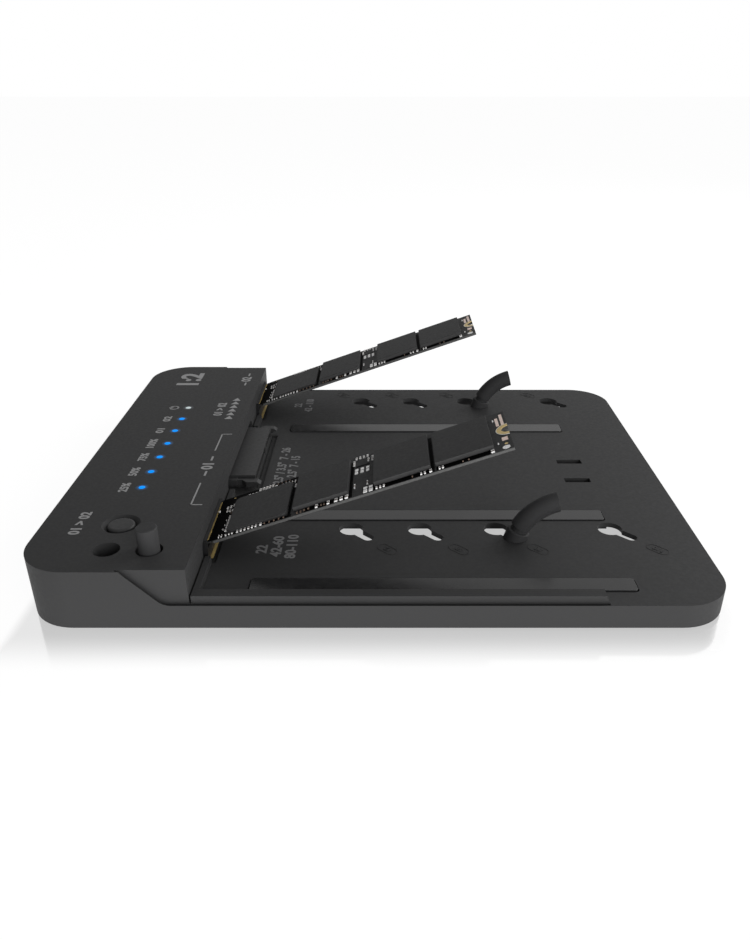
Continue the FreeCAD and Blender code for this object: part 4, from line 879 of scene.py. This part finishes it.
CERAMIC_ROWS = (
    (7.0, 3.2, 0.6, 1.0, 5, 0.0, 1.72), (6.15, 4.0, 0.2, 0.4, 3, 0.05, 2.3),
    (5.3, 15.7, 0.42, 0.95, 3, 0.9, 0.25), (5.45, 13.9, 0.4, 0.75, 3, 0.8, -0.2),
    (3.1, 15.1, 0.4, 0.6), (5.6, 0.9, 0.18, 1.1, 2, 0.7), (7.5, 0.55, 0.3, 0.4, 3, 0.85),
    (10.56, 0.7, 0.4, 0.95, 6, 0.98), (16.7, 0.7, 0.5, 1.0), (10.9, 19.2, 0.58, 1.05, 4, 0.95),
    (15.5, 19.2, 0.58, 1.05, 2, 0.95), (13.8, 20.75, 0.58, 1.05, 5, 0.9), (18.4, 19.4, 0.65, 1.4),
    (20.4, 19.2, 0.4, 0.9), (21.3, 19.2, 0.24, 1.1, 4, 0.85), (24.3, 17.0, 0.5, 0.5, 2, 0.0, -1.1),
    (31.2, 1.02, 0.6, 1.5), (34.2, 1.02, 0.6, 1.5), (36.2, 1.02, 0.75, 1.5, 3, 1.33),
    (40.8, 20.85, 0.48, 1.0, 4, 1.0), (40.25, 19.0, 0.5, 1.0), (40.25, 17.4, 0.5, 1.0),
    (44.1, 18.3, 0.45, 1.7), (45.2, 19.3, 0.5, 1.0), (45.2, 17.8, 0.5, 1.0),
    (40.8, 5.2, 0.28, 1.9, 2, 3.3), (46.5, 0.8, 0.42, 1.0, 3, 0.9), (57.6, 0.85, 0.42, 1.0, 2, 0.9),
    (59.9, 0.95, 0.65, 1.3), (62.1, 0.85, 0.42, 1.0, 2, 0.8), (75.0, 0.95, 0.8, 1.3),
    (76.7, 3.9, 0.3, 0.45), (76.9, 17.5, 0.35, 0.6),
)
DARK_ROWS = (
    (6.9, 12.4, 0.5, 0.5), (17.7, 0.62, 0.3, 0.5, 5, 1.25), (17.7, 20.9, 0.3, 0.4, 5, 1.1),
    (26.2, 0.8, 0.36, 0.7, 2, 0.95), (28.0, 1.1, 0.4, 0.5, 2, 1.1), (32.4, 0.9, 0.3, 0.6, 2, 0.8),
    (55.4, 0.9, 0.3, 0.5), (67.8, 0.6, 0.3, 0.3, 2, 1.4),
)
BLANK_ROWS = (
    (41.0, 14.1, 0.85, 1.1, 3, 1.5), (41.0, 12.5, 0.85, 1.1, 3, 1.5),
    (43.6, 2.75, 1.0, 0.9, 2, 1.4), (43.6, 1.05, 1.0, 1.4, 2, 1.4),
)
ROWS_BY_BODY = ((PartBody.CERAMIC, CERAMIC_ROWS), (PartBody.DARK, DARK_ROWS),
                (PartBody.BLANK, BLANK_ROWS))
CARD_ROWS = tuple(PartRow(*row, body=body) for body, rows in ROWS_BY_BODY for row in rows)


# Along, across, length and width of each near-black plate on the card: the first is the black mask at the
# contact end, the rest are painted shadow beside the controller and packages, in the gaps between them and
# round small parts.
CARD_BLACK_AND_SHADOW_ZONES = (
    (4.85, 11.0, 4.3, 21.6), (15.8, 0.72, 17.6, 1.15), (15.8, 20.2, 17.6, 3.4), (23.95, 9.9, 0.7, 17.2),
    (33.7, 1.12, 11.4, 1.95), (53.0, 1.12, 14.2, 1.95), (68.4, 1.12, 14.2, 1.95), (39.8, 10.0, 0.8, 19.6),
    (60.5, 10.0, 0.8, 19.6), (44.4, 1.9, 3.2, 3.6), (42.6, 16.1, 3.6, 0.7),
)


@dataclass
class StorageCard:
    """A removable storage card: its board, packages, small parts and contacts."""

    bay: str
    tilt_deg: float = 19.23
    thick_mm: float = 0.8
    width_mm: float = 22.0
    length_mm: float = 80.0
    tongue_mm: float = 4.0
    notch_mm: float = 1.75
    ring_mm: float = 3.1
    end_share: float = 0.3
    pad_rise: float = 0.03
    mask_rise: float = 0.015
    skin: float = 0.012
    dot_radius: float = 0.45
    dot_line: float = 0.1
    dot_inset: float = 1.1
    lid_bevel: float = 0.08
    package_bevel: float = 0.1
    rows: tuple[PartRow, ...] = CARD_ROWS

    @property
    def body(self) -> str:
        """Name of the CAD body that carries the card."""
        return f"{self.bay}_card"

    def axes(self) -> Matrix:
        """Matrix that takes the card's own frame into the row frame."""
        low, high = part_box(f"card_board_{self.bay}")
        tilt = math.radians(self.tilt_deg)
        origin = Vector((low.x + self.thick_mm * MM * math.sin(tilt),
                         (low.y + high.y - self.width_mm * MM) / 2, low.z))
        return Matrix.Translation(origin) @ Matrix.Rotation(-tilt, 4, "Y")

    def on(self, along: float, across: float, above: float | None = None) -> Matrix:
        """A place on the card, in millimetres along, across and above it."""
        height = self.thick_mm if above is None else above
        return self.axes() @ Matrix.Translation(Vector((along, across, height)) * MM)

    def _plate(self, shape: Shape, spot: Point, size: Point, foot: float | None = None) -> None:
        """Add a plate at a spot along and across the card; its size is in millimetres."""
        add_block(shape, [side * MM for side in size], self.on(*spot, foot))

    def build(self) -> None:
        """Add the small parts, pads, edges and marks."""
        self._small_parts()
        self._contact_bar()
        self._black_and_shadow_zones()
        self._pads()
        self._edge_strips()
        self._package_marks()

    def _small_parts(self) -> None:
        """Solder each row: a middle of ceramic or resin between two tinned ends."""
        shapes = {kind: bmesh.new() for kind in ("ends", PartBody.CERAMIC, PartBody.DARK)}
        for row in self.rows:
            for along, across in row.places():
                self._small_part(shapes, row, self.on(along, across))
        ends = add_piece(f"card_part_ends_{self.bay}", shapes["ends"], self.body, TINNED)
        add_piece(f"card_part_bodies_{self.bay}", shapes[PartBody.CERAMIC], self.body, CERAMIC)
        add_piece(f"card_part_resin_{self.bay}", shapes[PartBody.DARK], self.body, RESISTOR)
        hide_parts(f"card_parts_{self.bay}")

    def _small_part(self, shapes: dict, row: PartRow, place: Matrix) -> None:
        """Add one small part to the shapes of its row's kind."""
        if row.body is PartBody.BLANK:
            add_block(shapes["ends"], (row.length * MM, row.width * MM, row.height * 0.6 * MM), place,
                      0.05 * MM)
            return
        upright = row.width >= row.length
        long, short = max(row.length, row.width) * MM, min(row.length, row.width) * MM
        turned_place = place @ Matrix.Rotation(math.radians(90.0 if upright else 0.0), 4, "Z")
        add_block(shapes[row.body], (long * (1.0 - 2 * self.end_share) + 0.02 * MM, short * 0.92,
                                     row.height * 0.9 * MM), turned_place, 0.03 * MM)
        ends = shapes[PartBody.CERAMIC] if row.body is PartBody.DARK else shapes["ends"]
        for side in (-1, 1):
            spot = Matrix.Translation((side * long * (1.0 - self.end_share) / 2, 0.0, 0.0))
            add_block(ends, (long * self.end_share, short, row.height * MM), turned_place @ spot,
                      0.04 * MM)

    def _black_and_shadow_zones(self) -> None:
        """Paint the mask black by the contacts, and lay near-black sheets as painted shadow between the
        packages, along their near side and below the rows of parts.
        """
        shape = bmesh.new()
        for along, across, length, width in CARD_BLACK_AND_SHADOW_ZONES:
            self._plate(shape, (along, across), (length, width, self.mask_rise))
        add_piece(f"card_black_and_shadow_mask_{self.bay}", shape, self.body, CARD_BLACK_AND_SHADOW)

    def _contact_bar(self) -> None:
        """Plate the row of solder tails at the socket's foot as one bright strip."""
        boxes = solids_of(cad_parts[f"socket_contacts_{self.bay}"], Matrix())
        foot = min(low.z for low, _ in boxes)
        tails = [pair for pair in boxes if pair[0].z < foot + 0.1 * MM]
        low, high = tails[0][0], tails[-1][1]
        size = (high.x - low.x, high.y - low.y, high.z - low.z + self.pad_rise * MM)
        shape = bmesh.new()
        add_block(shape, size, Matrix.Translation(((low.x + high.x) / 2, (low.y + high.y) / 2, low.z)),
                  0.05 * MM)
        add_piece(f"socket_contact_bar_{self.bay}", shape, "housing", GOLD)

    def _pads(self) -> None:
        """Lay the bare pads and test points of the board."""
        silver, pink, gold, pale, white = (bmesh.new() for _ in range(5))
        rise = self.pad_rise * MM
        for along, across, length, width in ((77.75, 16.4, 0.75, 4.9), (79.0, 17.3, 0.75, 6.6)):
            self._plate(silver, (along, across), (length, width, self.pad_rise))
        extrude_outline(white, rounded_outline(1.8 * MM, 1.8 * MM, 0.8 * MM), rise, self.on(78.3, 1.35))
        self._plate(pink, (78.5, 6.0), (1.45, 1.9, self.pad_rise))
        for along, across, size in ((78.5, 3.2, 0.85), (6.4, 20.9, 0.5), (2.7, 5.0, 0.4)):
            extrude_outline(gold, round_outline(size / 2 * MM), rise, self.on(along, across))
        self._ring(pale, 3 * rise)
        for name, shape, finish, slot in (("screw_pad", white, TINNED, "part_silver"),
                                          ("silver_pads", silver, SILVER_PAD, "part_silver"),
                                          ("copper_pad", pink, PINK_PAD, "part_silver"),
                                          ("gold_pads", gold, GOLD, "contact_gold"),
                                          ("ring", pale, PALE_GOLD, "contact_gold")):
            add_piece(f"card_{name}_{self.bay}", shape, self.body, finish)

    def _ring(self, shape: Shape, rise: float) -> None:
        """Plate the half ring around the notch at the free end."""
        turns = [math.radians(90.0 + 180.0 * step / 24) for step in range(25)]
        outer = [(self.ring_mm * math.cos(a) * MM, self.ring_mm * math.sin(a) * MM) for a in turns]
        hole = (self.notch_mm + 0.03) * MM
        inner = [(hole * math.cos(a), hole * math.sin(a)) for a in reversed(turns)]
        extrude_outline(shape, outer + inner, rise, self.on(self.length_mm, self.width_mm / 2))

    def _edge_strips(self) -> None:
        """Show the glass fibre along the board's cut edges."""
        shape = bmesh.new()
        high, foot = self.thick_mm * 0.78, self.thick_mm * 0.11
        run = self.length_mm - self.tongue_mm
        for across in (-self.skin / 2, self.width_mm + self.skin / 2):
            self._plate(shape, (self.tongue_mm + run / 2, across), (run, self.skin, high), foot)
        side = self.width_mm / 2 - self.notch_mm
        for middle in (side / 2, self.width_mm - side / 2):
            self._plate(shape, (self.length_mm + self.skin / 2, middle), (self.skin, side, high), foot)
        add_piece(f"card_edge_{self.bay}", shape, self.body, CARD_EDGE)

    def _package_marks(self) -> None:
        """Print the pin-one dot in each package's corner and paint the near side of each package lighter,
        as painted light.
        """
        shape = bmesh.new()
        boxes = solids_of(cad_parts[f"card_memory_{self.bay}"], self.axes().inverted())
        for low, high in boxes:
            inset = self.dot_inset * MM
            place = self.axes() @ Matrix.Translation((low.x + inset, low.y + inset, high.z))
            ring_band(shape, round_outline(self.dot_radius * MM),
                      round_outline((self.dot_radius - self.dot_line) * MM), 0.01 * MM, place)
        add_piece(f"card_package_dots_{self.bay}", shape, self.body, PACKAGE)
        # Painted light: a thin lighter skin on each package's near face.
        sides = bmesh.new()
        for low, high in boxes:
            deep = high.z - low.z
            place = Matrix.Translation(((low.x + high.x) / 2, low.y, low.z + 0.12 * deep))
            add_block(sides, (high.x - low.x - 0.1 * MM, 0.02 * MM, 0.8 * deep), self.axes() @ place)
        add_piece(f"card_package_lit_sides_{self.bay}", sides, self.body, PACKAGE_LIT_SIDE)

    def dress(self) -> None:
        """Give the card's CAD nodes their finishes."""
        for node, finish, bevel in (("card_board", CARD, 0.0), ("card_controller", LID, self.lid_bevel),
                                    ("card_memory", PACKAGE, self.package_bevel),
                                    ("card_contacts", GOLD, 0.0), ("card_socket", SOCKET, 0.0),
                                    ("socket_contacts", GOLD, 0.0)):
            dress(f"{node}_{self.bay}", finish, bevel)


@dataclass
class TrayParts:
    """Support strips, drive connector and retainers on the tray."""

    strip_bevel: float = 0.06
    connector_bevel: float = 0.12

    def dress(self) -> None:
        """Give each node its finish."""
        for row in ("front", "middle", "rear"):
            dress(f"support_strip_{row}", INLAY, self.strip_bevel)
        for row in ("front", "rear"):
            dress(f"card_retainer_{row}", TAIL_RUBBER)
        dress("drive_connector", CONNECTOR, self.connector_bevel)
        dress("drive_contacts", GOLD)


@dataclass
class Underside:
    """Bottom cover, feet, screws, main board and ports."""

    cover_bevel: float = 0.2

    def dress(self) -> None:
        """Give each node its finish."""
        dress("bottom_cover", COVER, self.cover_bevel)
        for end in ("front", "rear"):
            for side in ("left", "right"):
                dress(f"foot_{end}_{side}", FOOT_RUBBER)
        for node, finish in (("cover_screws", SCREW), ("board_screws", SCREW), ("main_board", BOARD),
                             ("controller_chip", CHIP), ("bridge_chips", CHIP),
                             ("board_capacitors", CAN), ("power_inductors", FERRITE),
                             ("board_regulators", CHIP), ("board_crystals", CAN),
                             ("data_port_shell", STEEL), ("data_port_tongue", CONNECTOR),
                             ("power_inlet", GLOSS_BLACK), ("power_inlet_pin", STEEL),
                             ("power_switch_body", GLOSS_BLACK), ("power_switch_knob", SOCKET)):
            dress(node, finish)


@dataclass(frozen=True)
class Lamp:
    """One soft lamp that faces the object.

    Args:
        name: Name of the lamp.
        place: Where it hangs, in metres.
        size: Its width, in metres.
        watts: Its strength.
    """

    name: str
    place: tuple[float, float, float]
    size: float
    watts: float

    def hang(self) -> None:
        """Create the lamp and turn it to the object."""
        data = bpy.data.lights.new(self.name, "AREA")
        data.shape = "DISK"
        data.size = self.size
        data.energy = self.watts
        lamp = new_object(self.name, data)
        lamp.location = self.place
        aim = Vector((0.0, 0.0, 0.01)) - Vector(self.place)
        lamp.rotation_euler = aim.to_track_quat("-Z", "Y").to_euler()


@dataclass
class Studio:
    """Floor, surround, lamps and camera."""

    eye: tuple[float, float, float] = (0.0017, -0.2210, 0.1138)
    pitch_deg: float = 61.835
    lens: float = 31.18
    shift: tuple[float, float] = (-0.0118, 0.0369)
    low_level: float = 0.7
    high_level: float = 0.26
    lean: tuple[float, float] = (0.55, 0.78)
    horizon_band: tuple[float, float] = (0.05, 0.85)
    glossy_share: float = 0.6
    floor_size: float = 8.0
    floor_thickness: float = 0.001
    floor_matt: float = 0.86
    floor_white: float = 0.88
    floor_glow: float = 1.08
    floor_bounce: float = 1.5
    floor_sheen: float = 0.44
    sheen_tint: float = 1.12
    sheen_roughness: float = 0.1
    sheen_reach: float = 0.0145
    side_fade: float = 4.0
    under_band: tuple[float, float] = (-0.006, 0.004)
    left_band: tuple[float, float] = (-0.16, -0.07)
    left_share: float = 0.15
    lamps: tuple[Lamp, ...] = (
        Lamp("front_lamp", (0.75, -1.2, 0.42), 0.8, 10.0),
        Lamp("side_lamp", (0.5, 0.3, 0.35), 0.4, 2.0),
        Lamp("top_lamp", (-0.1, -0.1, 1.3), 1.0, 0.8),
    )

    def build(self) -> None:
        """Set up the whole stage."""
        self._camera()
        self._world()
        self._floor()
        for lamp in self.lamps:
            lamp.hang()

    def _camera(self) -> None:
        """Put the camera where the object is seen from."""
        data = bpy.data.cameras.new("viewpoint")
        data.lens = self.lens
        data.sensor_width = 36.0
        data.shift_x, data.shift_y = self.shift
        data.clip_start = 0.01
        camera = new_object("viewpoint", data)
        camera.location = self.eye
        camera.rotation_euler = (math.radians(self.pitch_deg), 0.0, 0.0)
        bpy.context.scene.camera = camera

    def _world(self) -> None:
        """A white surround for the eye, and a soft light that is stronger near the horizon."""
        world = bpy.data.worlds.new("surround")
        bpy.context.scene.world = world
        world.use_nodes = True
        wiring = Wiring(world.node_tree)
        shade = world.node_tree.nodes["Background"]
        shade.inputs["Color"].default_value = (1.0, 1.0, 1.0, 1.0)
        rays = wiring.add("ShaderNodeLightPath").outputs
        fall = wiring.spread(wiring.axis("Generated", "Z"), self.horizon_band,
                             (self.low_level, self.high_level), True)
        lean = wiring.combine("MULTIPLY_ADD", wiring.axis("Generated", "X"), *self.lean)
        level = wiring.combine("MULTIPLY", fall, lean)
        mirrored = wiring.combine("MULTIPLY", rays["Is Glossy Ray"], lean)
        glossy = wiring.combine("MULTIPLY", mirrored, self.glossy_share)
        straight = wiring.combine("MAXIMUM", rays["Is Camera Ray"], rays["Is Transmission Ray"])
        seen = wiring.combine("MAXIMUM", straight, glossy)
        gap = wiring.combine("SUBTRACT", 1.0, level)
        wiring.join(wiring.combine("MULTIPLY_ADD", gap, seen, level), shade.inputs["Strength"])

    def _floor(self) -> None:
        """A plain pale floor that is white to the eye and keeps a soft shadow and reflection."""
        shape, thickness = bmesh.new(), self.floor_thickness
        add_block(shape, (self.floor_size, self.floor_size, thickness),
                  Matrix.Translation((0, 0, -thickness)))
        bmesh.ops.recalc_face_normals(shape, faces=shape.faces)
        mesh = bpy.data.meshes.new("floor")
        shape.to_mesh(mesh)
        shape.free()
        mesh.materials.append(self._floor_material())
        new_object("floor", mesh)

    def _floor_material(self) -> bpy.types.Material:
        """White to camera, mirror and glass rays, matt to the lamps, with a sheen near the object.

        Returns:
            The floor's material.
        """
        material = bpy.data.materials.new("pale_floor")
        material.use_nodes = True
        material.node_tree.nodes.clear()
        wiring = Wiring(material.node_tree)
        matt = wiring.add("ShaderNodeBsdfDiffuse", {"Color": (*3 * (self.floor_matt,), 1.0)})
        white = wiring.add("ShaderNodeEmission")
        sheen = wiring.add("ShaderNodeBsdfGlossy", {"Color": (*3 * (self.sheen_tint,), 1.0),
                                                    "Roughness": self.sheen_roughness})
        rays = wiring.add("ShaderNodeLightPath").outputs
        bent = wiring.combine("MAXIMUM", rays["Is Glossy Ray"], rays["Is Transmission Ray"])
        direct = wiring.combine("MAXIMUM", rays["Is Camera Ray"], bent)
        bounced = rays["Is Diffuse Ray"]
        wiring.join(wiring.combine("MULTIPLY_ADD", bounced, self.floor_bounce, self.floor_glow),
                    white.inputs["Strength"])
        lit = wiring.combine("MAXIMUM", direct, wiring.combine("MULTIPLY", bounced, self._open(wiring)))
        base = self._mix(wiring, wiring.combine("MULTIPLY", lit, self.floor_white), matt, white)
        share = wiring.combine("MULTIPLY", self._near_object(wiring), rays["Is Camera Ray"])
        top = self._mix(wiring, share, base, sheen)
        wiring.join(top.outputs[0], wiring.add("ShaderNodeOutputMaterial").inputs["Surface"])
        return material

    def _mix(self, wiring: Wiring, share: Socket, first: Node, second: Node) -> Node:
        """Mix two shaders by a share of the second."""
        mixed = wiring.add("ShaderNodeMixShader")
        for slot, source in enumerate((share, first.outputs[0], second.outputs[0])):
            wiring.join(source, mixed.inputs[slot])
        return mixed

    def _beyond(self, wiring: Wiring) -> tuple[Socket, Socket]:
        """Distance on the floor past the object's sides, along X and along Y."""
        x, y = (wiring.combine("SUBTRACT", wiring.combine("ABSOLUTE", wiring.axis("Object", name)), half)
                for name, half in zip("XY", CAD_BOX[1]))
        return x, y

    def _near_object(self, wiring: Wiring) -> Socket:
        """Share of sheen, which fades away from the object's outline on the floor."""
        x, y = self._beyond(wiring)
        away = wiring.combine("MAXIMUM", wiring.combine("MULTIPLY", x, self.side_fade), y)
        return wiring.spread(away, (0.0, self.sheen_reach), (self.floor_sheen, 0.0), True)

    def _open(self, wiring: Wiring) -> Socket:
        """Share of the floor's own light: none below the object and little to its left."""
        away = wiring.combine("MAXIMUM", *self._beyond(wiring))
        left = wiring.spread(wiring.axis("Object", "X"), self.left_band, (self.left_share, 1.0), True)
        return wiring.combine("MULTIPLY", wiring.spread(away, self.under_band, (0.0, 1.0), True), left)


def main() -> None:
    """Build every sub-assembly in order."""
    logging.basicConfig(level=logging.INFO)
    bpy.context.scene.view_settings.view_transform = "Standard"
    for part in (Shell(), ControlHead(), StorageCard("front"), StorageCard("rear")):
        part.build()
        part.dress()
    for part in (TrayParts(), Underside()):
        part.dress()
    Studio().build()


if __name__ == "__main__":
    main()
